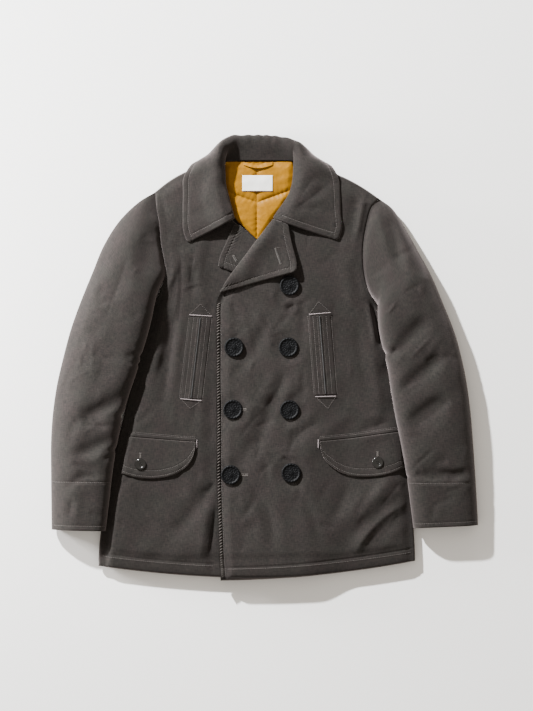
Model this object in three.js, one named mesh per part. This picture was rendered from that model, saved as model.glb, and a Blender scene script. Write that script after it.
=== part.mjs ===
// A padded, double-breasted pea coat laid out flat, face up, on a surface.
// Millimetres, +Z up. X runs across the coat as seen from above, Y from the hem up to the collar.
// The origin is on the surface, under the middle of the coat's outline.
// "Right" and "left" are the wearer's: the right front lies at -X, under the left front.
import * as THREE from "three";

// Thicknesses of the padded cloth
const LAYER_GAP = 0.9; // clearance between layers that lie on each other
const SEAM_GAP = 0.7; // clearance between pieces that meet edge to edge
const ARMHOLE_GAP = 1.55;
const BACK_THICK = 10;
const FRONT_THICK = 14;
const OVERLAP_THICK = 12; // left front where it lies over the right front
const COVERED_THICK = 10; // right front where the left front covers it
const HEM_THICK = 6; // hem band, turned up and stitched flat
const BACK_HEM_THICK = 8.5;
const EDGE_THICK = 5; // front edges, stitched flat
const COLLAR_THICK = 4.4;
const LAPEL_THICK = 5;

// Edges and bands
const RIM_RADIUS = 5; // how far in from an edge the cloth rounds off
const RIM_SHARE = 0.35; // share of the thickness left at the very edge
const HEM_BAND = 24; // hem edge to the stitching above it
const CUFF_BAND = 86; // cuff edge to the stitching above it
const ROLL_IN = 8; // how far the front's cloth stops short of a rolled edge
const HEM_STOPS = [0, 1.5, 5, HEM_BAND - 3, HEM_BAND + 3, HEM_BAND + 14];
const UNDER_COLLAR_RISE = 5.4; // the back's neck lies on the collar's fall
const CENTRE_X = -14; // centre back

// Buttons
const BUTTON_RADIUS = 17.5;
const BUTTON_HEIGHT = 5.5;
const FLAP_BUTTON_RADIUS = 10;
const FLAP_BUTTON_HEIGHT = 4;

// The right front, at -X: a row for each level from the shoulder down to the hem.
// side is the armhole and then the side seam, edge is the neckline, the roll line and the front edge.
// bow is how far the level arches up at its middle.
const RIGHT_FRONT = [
  { sideX: -197, sideY: 299, edgeX: -82, edgeY: 346, bow: 14 },
  { sideX: -195, sideY: 272, edgeX: -80, edgeY: 316, bow: 9 },
  { sideX: -190, sideY: 243, edgeX: -72, edgeY: 286, bow: 5 },
  { sideX: -187, sideY: 208, edgeX: -62, edgeY: 254, bow: 2 },
  { sideX: -181, sideY: 176, edgeX: -31, edgeY: 223, bow: 0 },
  { sideX: -178, sideY: 150, edgeX: -5, edgeY: 192, bow: 0 },
  { sideX: -192, sideY: 114, edgeX: 22, edgeY: 156, bow: 0 },
  { sideX: -206, sideY: 84, edgeX: 50, edgeY: 118, bow: 0 },
  { sideX: -216, sideY: 50, edgeX: 60, edgeY: 62, bow: 0 },
  { sideX: -227, sideY: 5, edgeX: 61, edgeY: 6, bow: 0 },
  { sideX: -240, sideY: -45, edgeX: 61, edgeY: -45, bow: 0 },
  { sideX: -252, sideY: -95, edgeX: 60, edgeY: -98, bow: 0 },
  { sideX: -264, sideY: -145, edgeX: 60, edgeY: -150, bow: 0 },
  { sideX: -276, sideY: -195, edgeX: 60, edgeY: -205, bow: -1 },
  { sideX: -287, sideY: -250, edgeX: 59, edgeY: -260, bow: -3 },
  { sideX: -294, sideY: -300, edgeX: 58, edgeY: -315, bow: -5 },
  { sideX: -299, sideY: -343, edgeX: 57, edgeY: -362, bow: -7 },
  { sideX: -300, sideY: -376, edgeX: 57, edgeY: -397, bow: -8 },
];

// The left front, at +X, in the same way. It laps over the right front.
const LEFT_FRONT = [
  { sideX: 206, sideY: 287, edgeX: 66, edgeY: 346, bow: 12 },
  { sideX: 192, sideY: 270, edgeX: 62, edgeY: 318, bow: 8 },
  { sideX: 184, sideY: 243, edgeX: 50, edgeY: 286, bow: 5 },
  { sideX: 178, sideY: 209, edgeX: 27, edgeY: 252, bow: 2 },
  { sideX: 177, sideY: 176, edgeX: 2, edgeY: 215, bow: 0 },
  { sideX: 181, sideY: 141, edgeX: -35, edgeY: 170, bow: 0 },
  { sideX: 191, sideY: 112, edgeX: -66, edgeY: 134, bow: 0 },
  { sideX: 208, sideY: 84, edgeX: -86, edgeY: 102, bow: 0 },
  { sideX: 220, sideY: 50, edgeX: -88, edgeY: 60, bow: 0 },
  { sideX: 231, sideY: 5, edgeX: -88, edgeY: 5, bow: 0 },
  { sideX: 240, sideY: -45, edgeX: -88, edgeY: -45, bow: 0 },
  { sideX: 249, sideY: -95, edgeX: -87, edgeY: -98, bow: 0 },
  { sideX: 257, sideY: -145, edgeX: -87, edgeY: -150, bow: 0 },
  { sideX: 264, sideY: -195, edgeX: -87, edgeY: -205, bow: -1 },
  { sideX: 268, sideY: -250, edgeX: -86, edgeY: -260, bow: -3 },
  { sideX: 269, sideY: -300, edgeX: -84, edgeY: -315, bow: -5 },
  { sideX: 271, sideY: -338, edgeX: -82, edgeY: -366, bow: -7 },
  { sideX: 272, sideY: -367, edgeX: -79, edgeY: -402, bow: -8 },
];

// The back, under both: side is at -X and edge at +X.
const BACK = [
  { sideX: -195, sideY: 297, edgeX: 204, edgeY: 285, bow: 57 },
  { sideX: -194, sideY: 271, edgeX: 190, edgeY: 269, bow: 50 },
  { sideX: -189, sideY: 242, edgeX: 182, edgeY: 242, bow: 39 },
  { sideX: -186, sideY: 207, edgeX: 176, edgeY: 208, bow: 28 },
  { sideX: -180, sideY: 175, edgeX: 176, edgeY: 175, bow: 18 },
  { sideX: -177, sideY: 149, edgeX: 180, edgeY: 140, bow: 10 },
  { sideX: -190, sideY: 114, edgeX: 190, edgeY: 111, bow: 5 },
  { sideX: -204, sideY: 84, edgeX: 206, edgeY: 84, bow: 0 },
  { sideX: -214, sideY: 50, edgeX: 218, edgeY: 50, bow: 0 },
  { sideX: -225, sideY: 5, edgeX: 229, edgeY: 5, bow: 0 },
  { sideX: -238, sideY: -45, edgeX: 238, edgeY: -45, bow: 0 },
  { sideX: -250, sideY: -95, edgeX: 247, edgeY: -95, bow: 0 },
  { sideX: -262, sideY: -145, edgeX: 255, edgeY: -145, bow: -2 },
  { sideX: -274, sideY: -195, edgeX: 262, edgeY: -195, bow: -4 },
  { sideX: -285, sideY: -250, edgeX: 266, edgeY: -250, bow: -8 },
  { sideX: -292, sideY: -300, edgeX: 267, edgeY: -300, bow: -12 },
  { sideX: -297, sideY: -341, edgeX: 269, edgeY: -336, bow: -16 },
  { sideX: -298, sideY: -372, edgeX: 270, edgeY: -363, bow: -20 },
];
const BACK_BOW_POWER = 3;
const FRONT_BOW_POWER = 2;

// Sleeves: a row for each section from the armhole to the cuff, outer edge to inner edge.
// height is the puffed height there, wall the padded wall.
const RIGHT_SLEEVE = [
  { outerX: -197.6, outerY: 301, innerX: -181, innerY: 139.6, height: 23, wall: 8 },
  { outerX: -228, outerY: 281, innerX: -187, innerY: 130, height: 40, wall: 8 },
  { outerX: -262, outerY: 246, innerX: -193.5, innerY: 114, height: 50, wall: 8 },
  { outerX: -290, outerY: 201, innerX: -198, innerY: 96, height: 54, wall: 8 },
  { outerX: -310, outerY: 153, innerX: -203, innerY: 72, height: 55, wall: 8 },
  { outerX: -330, outerY: 104, innerX: -210, innerY: 44, height: 54, wall: 8 },
  { outerX: -349, outerY: 51, innerX: -220, innerY: 10, height: 53, wall: 8 },
  { outerX: -364, outerY: -5, innerX: -231, innerY: -28, height: 52, wall: 8 },
  { outerX: -375, outerY: -54, innerX: -244, innerY: -66, height: 52, wall: 8 },
  { outerX: -382, outerY: -105, innerX: -256, innerY: -108, height: 52, wall: 8 },
  { outerX: -385, outerY: -155, innerX: -266, innerY: -157, height: 51, wall: 8 },
  { outerX: -385, outerY: -205, innerX: -274, innerY: -206, height: 49, wall: 7 },
  { outerX: -384.5, outerY: -257, innerX: -280, innerY: -258, height: 46, wall: 5 },
  { outerX: -384, outerY: -310, innerX: -286.5, innerY: -312, height: 43, wall: 4 },
];
const LEFT_SLEEVE = [
  { outerX: 207, outerY: 288, innerX: 191, innerY: 112, height: 25, wall: 8 },
  { outerX: 232, outerY: 268, innerX: 199, innerY: 101, height: 41, wall: 8 },
  { outerX: 254, outerY: 232, innerX: 203, innerY: 88, height: 50, wall: 8 },
  { outerX: 276, outerY: 192, innerX: 204, innerY: 74, height: 54, wall: 8 },
  { outerX: 300, outerY: 148, innerX: 205, innerY: 57, height: 54, wall: 8 },
  { outerX: 323, outerY: 94, innerX: 208, innerY: 38, height: 53, wall: 8 },
  { outerX: 343, outerY: 43, innerX: 214, innerY: 11, height: 52, wall: 8 },
  { outerX: 357, outerY: -10, innerX: 222, innerY: -22, height: 51, wall: 8 },
  { outerX: 366, outerY: -58, innerX: 228, innerY: -62, height: 50, wall: 8 },
  { outerX: 372, outerY: -108, innerX: 236, innerY: -108, height: 49, wall: 8 },
  { outerX: 376, outerY: -158, innerX: 246, innerY: -158, height: 47, wall: 8 },
  { outerX: 379.5, outerY: -208, innerX: 255, innerY: -208, height: 44, wall: 7 },
  { outerX: 382.5, outerY: -256, innerX: 262, innerY: -258, height: 41, wall: 5 },
  { outerX: 385, outerY: -302, innerX: 268, innerY: -307, height: 38, wall: 4 },
];
const SLEEVE_LENGTH = 610;
const SLEEVE_MIDDLE = 0.42; // height of the sleeve's sides, as a share of its height
const SLEEVE_TOP_POWER = 0.62; // lower is squarer
const SLEEVE_UNDER_REACH = 1.3; // over 1 presses the underside flat on the surface

// Soft troughs (depth below 0) and ridges, each from one end to the other through a bent middle.
const FRONT_FOLDS = [
  { x1: -158, y1: 196, x2: -168, y2: 80, x3: -188, y3: -80, width: 11, depth: -7 },
  { x1: -146, y1: 180, x2: -150, y2: 60, x3: -168, y3: -70, width: 10, depth: 4 },
  { x1: -132, y1: 170, x2: -131, y2: 140, x3: -126, y3: 112, width: 9, depth: -4 },
  { x1: -100, y1: -215, x2: -108, y2: -280, x3: -190, y3: -335, width: 15, depth: -4 },
  { x1: 172, y1: 300, x2: 160, y2: 262, x3: 158, y3: 200, width: 14, depth: -5 },
  { x1: 150, y1: 190, x2: 152, y2: 120, x3: 150, y3: 20, width: 20, depth: 3 },
  { x1: 262, y1: -250, x2: 200, y2: -275, x3: 145, y3: -340, width: 15, depth: -6 },
  { x1: 248, y1: -222, x2: 178, y2: -240, x3: 120, y3: -320, width: 16, depth: 3 },
  { x1: -60, y1: -40, x2: -20, y2: 10, x3: 15, y3: 80, width: 12, depth: -3 },
  { x1: -45, y1: -195, x2: 5, y2: -120, x3: 30, y3: -40, width: 13, depth: -3.5 },
  { x1: 60, y1: -190, x2: 120, y2: -120, x3: 170, y3: -90, width: 16, depth: 2.5 },
];
const SLEEVE_FOLDS = [
  { x1: -200, y1: 255, x2: -212, y2: 200, x3: -215, y3: 140, width: 16, depth: -5 },
  { x1: -236, y1: -56, x2: -280, y2: -95, x3: -335, y3: -105, width: 13, depth: -5 },
  { x1: -258, y1: -140, x2: -300, y2: -160, x3: -350, y3: -178, width: 12, depth: -4 },
  { x1: 220, y1: 262, x2: 236, y2: 215, x3: 246, y3: 150, width: 13, depth: -5 },
  { x1: 222, y1: -10, x2: 255, y2: 40, x3: 300, y3: 75, width: 14, depth: -5 },
  { x1: 232, y1: -75, x2: 280, y2: -25, x3: 325, y3: 5, width: 14, depth: -5 },
  { x1: 244, y1: -130, x2: 290, y2: -85, x3: 335, y3: -70, width: 13, depth: -4 },
  { x1: 262, y1: -204, x2: 320, y2: -212, x3: 372, y3: -205, width: 9, depth: -4 },
];

// Lapels: a row for each section from the free lower edge up to the notch, roll line to outer edge.
// lift is how far the outer edge stands above the front.
const LEFT_LAPEL = [
  { rollX: -81, rollY: 117, edgeX: 57, edgeY: 154.5, lift: 9 },
  { rollX: -67, rollY: 140, edgeX: 57.5, edgeY: 171, lift: 9 },
  { rollX: -44, rollY: 171, edgeX: 52.5, edgeY: 192, lift: 7 },
  { rollX: -16, rollY: 207, edgeX: 47, edgeY: 214, lift: 5 },
  { rollX: 13, rollY: 246, edgeX: 41, edgeY: 234, lift: 4 },
];
const RIGHT_LAPEL = [
  { rollX: 53, rollY: 115, edgeX: -84, edgeY: 165, lift: 1 },
  { rollX: 38, rollY: 140, edgeX: -80, edgeY: 183, lift: 1 },
  { rollX: 18, rollY: 168, edgeX: -71, edgeY: 204, lift: 1 },
  { rollX: -8, rollY: 202, edgeX: -62, edgeY: 224, lift: 1 },
  { rollX: -44, rollY: 239, edgeX: -55, edgeY: 239, lift: 1 },
];

// The collar: a row for each section from the tip of the right wing round the back neck to the left.
// Each section runs from its neck seam up the stand, over the crest and down the fall to its edge.
// A cell holds that point's X, Y and Z.
const COLLAR_COLUMNS = ["seam", "stand", "crest", "fall", "edge"];
const COLLAR = [
  [[-64, 243, 19.5], [-55, 250, 26], [-66, 243.5, 33], [-98, 225, 35], [-131, 207, 37]],
  [[-72, 266, 19.5], [-59.5, 267, 26], [-72, 262, 34], [-106, 248, 35], [-143, 228, 35]],
  [[-79, 290, 19.5], [-65, 288, 26], [-78, 284, 34], [-112, 274, 35], [-146, 260, 33]],
  [[-84, 316, 19.5], [-71, 313, 26], [-83, 309, 34], [-114, 302, 35], [-147, 294, 32]],
  [[-82, 351.5, 19], [-72.5, 340, 26], [-84, 336, 34], [-114, 330, 35], [-146, 323, 29.5]],
  [[-76, 354, 17], [-71, 362, 24], [-82, 362, 32], [-107, 356, 30], [-131, 348, 15]],
  [[-70, 355, 15], [-68, 378, 21], [-79, 381, 23], [-100, 367, 8], [-112, 350, 2.3]],
  [[-60, 355.5, 14], [-60, 389, 17], [-67, 393, 12], [-76, 375, 2.3], [-86, 330, 2.3]],
  [[-44, 355.5, 13.5], [-43, 393, 14], [-42, 399.5, 8], [-42, 388, 2.3], [-42, 320, 2.3]],
  [[-8, 355.5, 13.5], [-8, 393, 13.5], [-8, 399.8, 8], [-8, 388, 2.3], [-8, 317, 2.3]],
  [[28, 355.5, 13.5], [28, 390, 14], [28, 397.5, 8], [28, 386, 2.3], [28, 320, 2.3]],
  [[46, 355.5, 14], [48, 383, 17], [54, 390, 13], [62, 373, 2.3], [72, 329, 2.3]],
  [[54, 355, 15], [53, 372, 21], [65, 376, 23], [88, 364, 8], [100, 348, 2.3]],
  [[60, 354, 17], [53, 356, 24], [64, 357, 32], [95, 354, 30], [120, 345, 15]],
  [[66, 351.5, 19], [52.5, 334, 26], [65, 331, 34], [99, 327, 35], [133, 322, 29.5]],
  [[64, 316, 19.5], [50, 312, 26], [62, 308, 34], [98, 301, 35], [136, 293, 32]],
  [[55, 291, 19.5], [41, 288, 26], [53, 284, 34], [91, 273, 35], [137.5, 260, 33]],
  [[42, 270, 19.5], [29, 270, 26], [41, 265, 34], [85, 250, 35], [137, 232, 35]],
  [[27, 252, 19.5], [16.5, 251.5, 26], [29, 245.5, 33], [76, 228, 35], [127, 213, 37]],
].map((cells) => Object.fromEntries(COLLAR_COLUMNS.map((name, k) => [name, cells[k]])));

// The quilted lining at the back neck: a row for each level, left end to right end.
const LINING = [
  { sideX: -70, sideY: 353.5, edgeX: 51, edgeY: 353.5, bow: 0 },
  { sideX: -74, sideY: 326, edgeX: 53.5, edgeY: 326, bow: 0 },
  { sideX: -67, sideY: 290, edgeX: 45, edgeY: 290, bow: 0 },
  { sideX: -55, sideY: 254, edgeX: 20, edgeY: 254, bow: 0 },
  { sideX: -33, sideY: 231, edgeX: 4, edgeY: 231, bow: 0 },
  { sideX: -16, sideY: 215, edgeX: -7, edgeY: 215, bow: 0 },
];
const QUILT_PITCH = 67; // between the sewn chevrons
const QUILT_POINT_Y = 280; // lowest point of one chevron
const QUILT_SLOPE = 0.36;
const QUILT_PUFF = 6;
const QUILT_VALLEY = 2.2;
const QUILT_WIDTH = 11; // how far the puff takes to rise from a seam

const LABEL = { x: -12.8, y: 314.3, width: 54.7, height: 28.4, thick: 0.9 };
const HANGER = { leftX: -38, rightX: 15, y: 350, sag: 6, width: 6, thick: 1.4 };

// Hand pockets: the slit's two ends, and the lips on each side of it
const WELTS = [
  { name: "right", topX: -115.2, topY: 73.5, footX: -132.5, footY: -74.5 },
  { name: "left", topX: 98.6, topY: 76.5, footX: 110, footY: -67 },
];
const WELT_WIDTH = 18.5;
const WELT_THICK = 2.2;
const SLIT_WIDTH = 1.6;

// Flap pockets: a row for each station across the flap
const RIGHT_FLAP = [
  { topX: -245, topY: -142, footX: -258, footY: -208.5 },
  { topX: -227, topY: -143.8, footX: -229, footY: -216 },
  { topX: -196, topY: -146.3, footX: -196, footY: -217.5 },
  { topX: -166, topY: -148.8, footX: -166, footY: -211.5 },
  { topX: -144, topY: -150.4, footX: -144, footY: -199.5 },
  { topX: -130, topY: -151.3, footX: -131.5, footY: -184 },
  { topX: -123.8, topY: -151.8, footX: -125, footY: -165 },
];
const LEFT_FLAP = [
  { topX: 98.6, topY: -150.7, footX: 100.5, footY: -163 },
  { topX: 104, topY: -150.2, footX: 106, footY: -180 },
  { topX: 117, topY: -149, footX: 118, footY: -193.5 },
  { topX: 138, topY: -147, footX: 138, footY: -206.5 },
  { topX: 163, topY: -144.3, footX: 164, footY: -213.7 },
  { topX: 197, topY: -139.5, footX: 199, footY: -213.5 },
  { topX: 222, topY: -136.2, footX: 227, footY: -208 },
  { topX: 243, topY: -133.4, footX: 250, footY: -199 },
];
const FLAP_THICK = 3.5;
const FLAP_LIFT = 3; // the flap's foot stands off the front
const JET_WIDTH = 6; // folded strip that the flap hangs from
const JET_THICK = 2.4;

const BIG_BUTTONS = [
  { name: "button_overlap_1", x: -54.9, y: 18.7 },
  { name: "button_overlap_2", x: -57.2, y: -93.2 },
  { name: "button_overlap_3", x: -61.2, y: -210.8 },
  { name: "button_display_1", x: 44.8, y: 129.2 },
  { name: "button_display_2", x: 42.7, y: 18.7 },
  { name: "button_display_3", x: 44.8, y: -94 },
  { name: "button_display_4", x: 47.7, y: -207.2 },
];
const FLAP_BUTTONS = [
  { name: "flap_button_right", x: -223.4, y: -191.5 },
  { name: "flap_button_left", x: 203.4, y: -188.6 },
];

// Colours
const SHELL = new THREE.MeshStandardMaterial({ color: "#4a4643", roughness: 0.92, metalness: 0 });
const QUILT = new THREE.MeshStandardMaterial({ color: "#d9a040", roughness: 0.55, metalness: 0 });
const WOVEN_WHITE = new THREE.MeshStandardMaterial({ color: "#efefee", roughness: 0.8, metalness: 0 });
const BLACK_RESIN = new THREE.MeshStandardMaterial({ color: "#1c1e22", roughness: 0.4, metalness: 0 });
const DARK_HORN = new THREE.MeshStandardMaterial({ color: "#2b2522", roughness: 0.2, metalness: 0 });

// Small helpers
const lerp = THREE.MathUtils.lerp;

/** 0 below a, 1 above b, an S curve between. */
const smooth = (a, b, x) => THREE.MathUtils.smoothstep(x, a, b);

/** The value of a table's column at t, from 0 at its first row to 1 at its last, as a smooth curve. */
function column(rows, name, t, part = null) {
  const place = THREE.MathUtils.clamp(t, 0, 1) * (rows.length - 1);
  const i = Math.min(Math.floor(place), rows.length - 2);
  const f = place - i;
  const cell = (k) => (part === null ? rows[k][name] : rows[k][name][part]);
  const b = cell(i);
  const c = cell(i + 1);
  const a = i > 0 ? cell(i - 1) : 2 * b - c;
  const d = i < rows.length - 2 ? cell(i + 2) : 2 * c - b;
  return b + 0.5 * f * (c - a + f * (2 * a - 5 * b + 4 * c - d + f * (3 * (b - c) + d - a)));
}

/** The height that soft folds add at a point: a bell across each fold, fading at its ends. */
function foldRelief(folds, x, y) {
  let sum = 0;
  for (const f of folds) {
    let nearest = Infinity;
    let along = 0;
    const steps = 12;
    for (let k = 0; k <= steps; k++) {
      const t = k / steps;
      const px = (1 - t) * (1 - t) * f.x1 + 2 * t * (1 - t) * f.x2 + t * t * f.x3;
      const py = (1 - t) * (1 - t) * f.y1 + 2 * t * (1 - t) * f.y2 + t * t * f.y3;
      const d = Math.hypot(x - px, y - py);
      if (d < nearest) {
        nearest = d;
        along = t;
      }
    }
    const ends = smooth(0, 0.25, along) * (1 - smooth(0.75, 1, along)) * 0.8 + 0.2;
    sum += f.depth * Math.exp(-((nearest / f.width) ** 2)) * ends;
  }
  return sum;
}

/** How much of its thickness a wall keeps at distance d from its edge. */
function rim(d) {
  const t = 1 - THREE.MathUtils.clamp(d / RIM_RADIUS, 0, 1);
  return RIM_SHARE + (1 - RIM_SHARE) * Math.sqrt(Math.max(0, 1 - t * t));
}

/** A closed mesh from a grid of outer points and a grid of inner points, joined along their borders. */
function wallGeometry(outer, inner, closedAcross = false) {
  const rows = outer.length;
  const cols = outer[0].length;
  const flat = [...outer.flat(), ...inner.flat()];
  const faces = [];
  const outerAt = (i, j) => i * cols + (j % cols);
  const innerAt = (i, j) => rows * cols + outerAt(i, j);
  const quad = (a, b, c, d) => faces.push(a, b, c, a, c, d);
  const lastCol = closedAcross ? cols : cols - 1;
  for (let i = 0; i < rows - 1; i++) {
    for (let j = 0; j < lastCol; j++) {
      quad(outerAt(i, j), outerAt(i, j + 1), outerAt(i + 1, j + 1), outerAt(i + 1, j));
      quad(innerAt(i, j), innerAt(i + 1, j), innerAt(i + 1, j + 1), innerAt(i, j + 1));
    }
  }
  for (let j = 0; j < lastCol; j++) {
    quad(outerAt(0, j), innerAt(0, j), innerAt(0, j + 1), outerAt(0, j + 1));
    quad(outerAt(rows - 1, j), outerAt(rows - 1, j + 1), innerAt(rows - 1, j + 1), innerAt(rows - 1, j));
  }
  if (!closedAcross) {
    for (let i = 0; i < rows - 1; i++) {
      quad(outerAt(i, 0), outerAt(i + 1, 0), innerAt(i + 1, 0), innerAt(i, 0));
      quad(outerAt(i, cols - 1), innerAt(i, cols - 1), innerAt(i + 1, cols - 1), outerAt(i + 1, cols - 1));
    }
  }
  let volume = 0;
  const a = new THREE.Vector3();
  const b = new THREE.Vector3();
  const c = new THREE.Vector3();
  for (let k = 0; k < faces.length; k += 3) {
    a.copy(flat[faces[k]]);
    b.copy(flat[faces[k + 1]]);
    c.copy(flat[faces[k + 2]]);
    volume += a.dot(b.cross(c));
  }
  if (volume < 0) faces.reverse();
  const geometry = new THREE.BufferGeometry().setFromPoints(flat);
  geometry.setIndex(faces);
  geometry.computeVertexNormals();
  return geometry;
}

/** Distances along a length: close together at both ends, even between. */
function stops(length, count, start = [0, 1.5, 5], end = [0, 1.5, 5]) {
  const share = Math.min(1, (0.4 * length) / Math.max(start.at(-1), end.at(-1)));
  const first = share * start.at(-1);
  const last = length - share * end.at(-1);
  const list = start.slice(0, -1).map((d) => share * d);
  for (let k = 0; k <= count; k++) list.push(lerp(first, last, k / count));
  for (let k = end.length - 2; k >= 0; k--) list.push(length - share * end[k]);
  return list;
}

// Panels: a point by its share across (side to edge) and down (shoulder to hem)
function panelPoint(panel, u, v) {
  const { rows, bowPower } = panel;
  const sideX = column(rows, "sideX", v);
  const sideY = column(rows, "sideY", v);
  const edgeX = column(rows, "edgeX", v);
  const edgeY = column(rows, "edgeY", v);
  const arch = 1 - Math.abs(2 * u - 1) ** bowPower;
  return {
    x: lerp(sideX, edgeX, u),
    y: lerp(sideY, edgeY, u) + column(rows, "bow", v) * arch,
    width: Math.hypot(edgeX - sideX, edgeY - sideY),
    u,
    v,
  };
}

/** Adds a point's distances to the side, the front edge, the shoulder and the hem. */
function measured(panel, p) {
  return {
    ...p,
    side: p.u * p.width,
    edge: (1 - p.u) * p.width,
    head: panelPoint(panel, p.u, 0).y - p.y,
    foot: p.y - panelPoint(panel, p.u, 1).y,
  };
}

/** The panel's point at a place in plan, found by halving; u runs past 0 or 1 beyond its borders. */
function locate(panel, x, y) {
  let low = 0;
  let high = 1;
  let p;
  const at = (v) => {
    const sideX = column(panel.rows, "sideX", v);
    const u = (x - sideX) / (column(panel.rows, "edgeX", v) - sideX);
    return panelPoint(panel, u, v);
  };
  for (let k = 0; k < 22; k++) {
    const v = (low + high) / 2;
    p = at(v);
    if (p.y > y) low = v;
    else high = v;
  }
  const found = measured(panel, { ...p, x, y });
  found.foot = y - panelPoint(panel, p.u, 1).y;
  return found;
}

// armpit is the row where the armhole ends and the side seam begins
const right = { rows: RIGHT_FRONT, bowPower: FRONT_BOW_POWER, armpit: 5.3, lowSide: 12, highSide: 28 };
const left = { rows: LEFT_FRONT, bowPower: FRONT_BOW_POWER, armpit: 6, lowSide: 5, highSide: 26 };
const back = { rows: BACK, bowPower: BACK_BOW_POWER, armpit: 5.6 };
const lining = { rows: LINING, bowPower: FRONT_BOW_POWER };

/** 1 beside the armhole, 0 beside the side seam. */
function armholeShare(panel, v) {
  const row = v * (panel.rows.length - 1);
  return 1 - smooth(panel.armpit, panel.armpit + 1.2, row);
}

/** Height of the back's upper face, before its rim rounds off. */
function backTop(x, y) {
  const p = locate(back, x, y);
  const sides = smooth(0, 40, Math.min(p.side, p.edge));
  const shaped = lerp(sides, 1, armholeShare(back, p.v));
  const thick = lerp(HEM_THICK, BACK_THICK, shaped);
  return lerp(Math.min(thick, BACK_HEM_THICK), thick, smooth(HEM_BAND, HEM_BAND + 14, p.foot));
}

/** A front's thickness: full inside, thin at the edge and hem, low at the side, pinched at the armhole. */
function frontThickness(panel, p, full, edged = true) {
  const sideRoll = smooth(panel.lowSide, panel.highSide, p.side);
  const armhole = lerp(0.6, 1, smooth(0, 20, p.side));
  const atSide = lerp(sideRoll, armhole, armholeShare(panel, p.v));
  const atEdge = edged ? smooth(6, 26, p.edge) : 1;
  const atHem = smooth(HEM_BAND, HEM_BAND + 14, p.foot);
  const sideThick = lerp(EDGE_THICK, full, Math.min(atSide, smooth(-8, 26, p.head)));
  const inner = Math.min(sideThick, lerp(EDGE_THICK, full, atEdge));
  return lerp(HEM_THICK, inner, atHem);
}

/** 1 over the right front, 0 well beyond its edge. */
const overRightFront = (x, y) => smooth(-45, -6, locate(right, x, y).edge);

/** 1 over the right lapel, which the left front covers. */
function overRightLapel(x, y) {
  const foot = RIGHT_LAPEL[0];
  const t = (x - foot.edgeX) / (foot.rollX - foot.edgeX);
  const lineY = lerp(foot.edgeY, foot.rollY, t);
  return smooth(-40, -8, y - lineY) * overRightFront(x, y) * (1 - smooth(250, 290, y));
}

const rightFull = (x) => lerp(FRONT_THICK, COVERED_THICK, smooth(-118, -94, x));
const leftFull = (x) => lerp(OVERLAP_THICK, FRONT_THICK, smooth(60, 120, x));

function rightUnder(x, y) {
  return backTop(x, y) + LAYER_GAP;
}

function rightTop(x, y, p = locate(right, x, y)) {
  const thick = frontThickness(right, p, rightFull(x));
  const open = (1 - smooth(-112, -96, x)) * smooth(0, 22, p.side - right.lowSide * 0.6);
  const folds = foldRelief(FRONT_FOLDS, x, y) * open * smooth(10, 40, p.foot);
  return rightUnder(x, y) + thick + folds;
}

function leftUnder(x, y) {
  const p = locate(right, x, y);
  const covered = frontThickness(right, p, COVERED_THICK, false) + LAYER_GAP;
  const lapel = (LAPEL_THICK + 2 * LAYER_GAP + 1) * overRightLapel(x, y);
  return backTop(x, y) + LAYER_GAP + covered * overRightFront(x, y) + lapel;
}

function leftTop(x, y, p = locate(left, x, y)) {
  const thick = frontThickness(left, p, leftFull(x));
  const open = smooth(0, 22, p.side - left.lowSide) * smooth(8, 34, p.edge) * smooth(10, 40, p.foot);
  return leftUnder(x, y) + thick + foldRelief(FRONT_FOLDS, x, y) * open;
}

/** A panel as a closed wall: an under face, and an upper face that rounds off at the rim. */
function panelGeometry(panel, across, down, under, top, sideStops, footStops = sideStops) {
  const outer = [];
  const inner = [];
  const length = Math.abs(column(panel.rows, "sideY", 1) - column(panel.rows, "sideY", 0));
  for (const s of stops(length, down, [0, 1.5, 5], footStops)) {
    const v = s / length;
    const width = panelPoint(panel, 0, v).width;
    const upper = [];
    const lower = [];
    for (const d of stops(width, across, sideStops)) {
      const p = measured(panel, panelPoint(panel, d / width, v));
      const z = under(p.x, p.y);
      const edges = Math.min(p.side, p.edge, v * length, (1 - v) * length);
      const thick = (top(p.x, p.y, p) - z) * rim(edges);
      upper.push(new THREE.Vector3(p.x, p.y, z + thick));
      lower.push(new THREE.Vector3(p.x, p.y, z));
    }
    outer.push(upper);
    inner.push(lower);
  }
  return wallGeometry(outer, inner);
}

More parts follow.
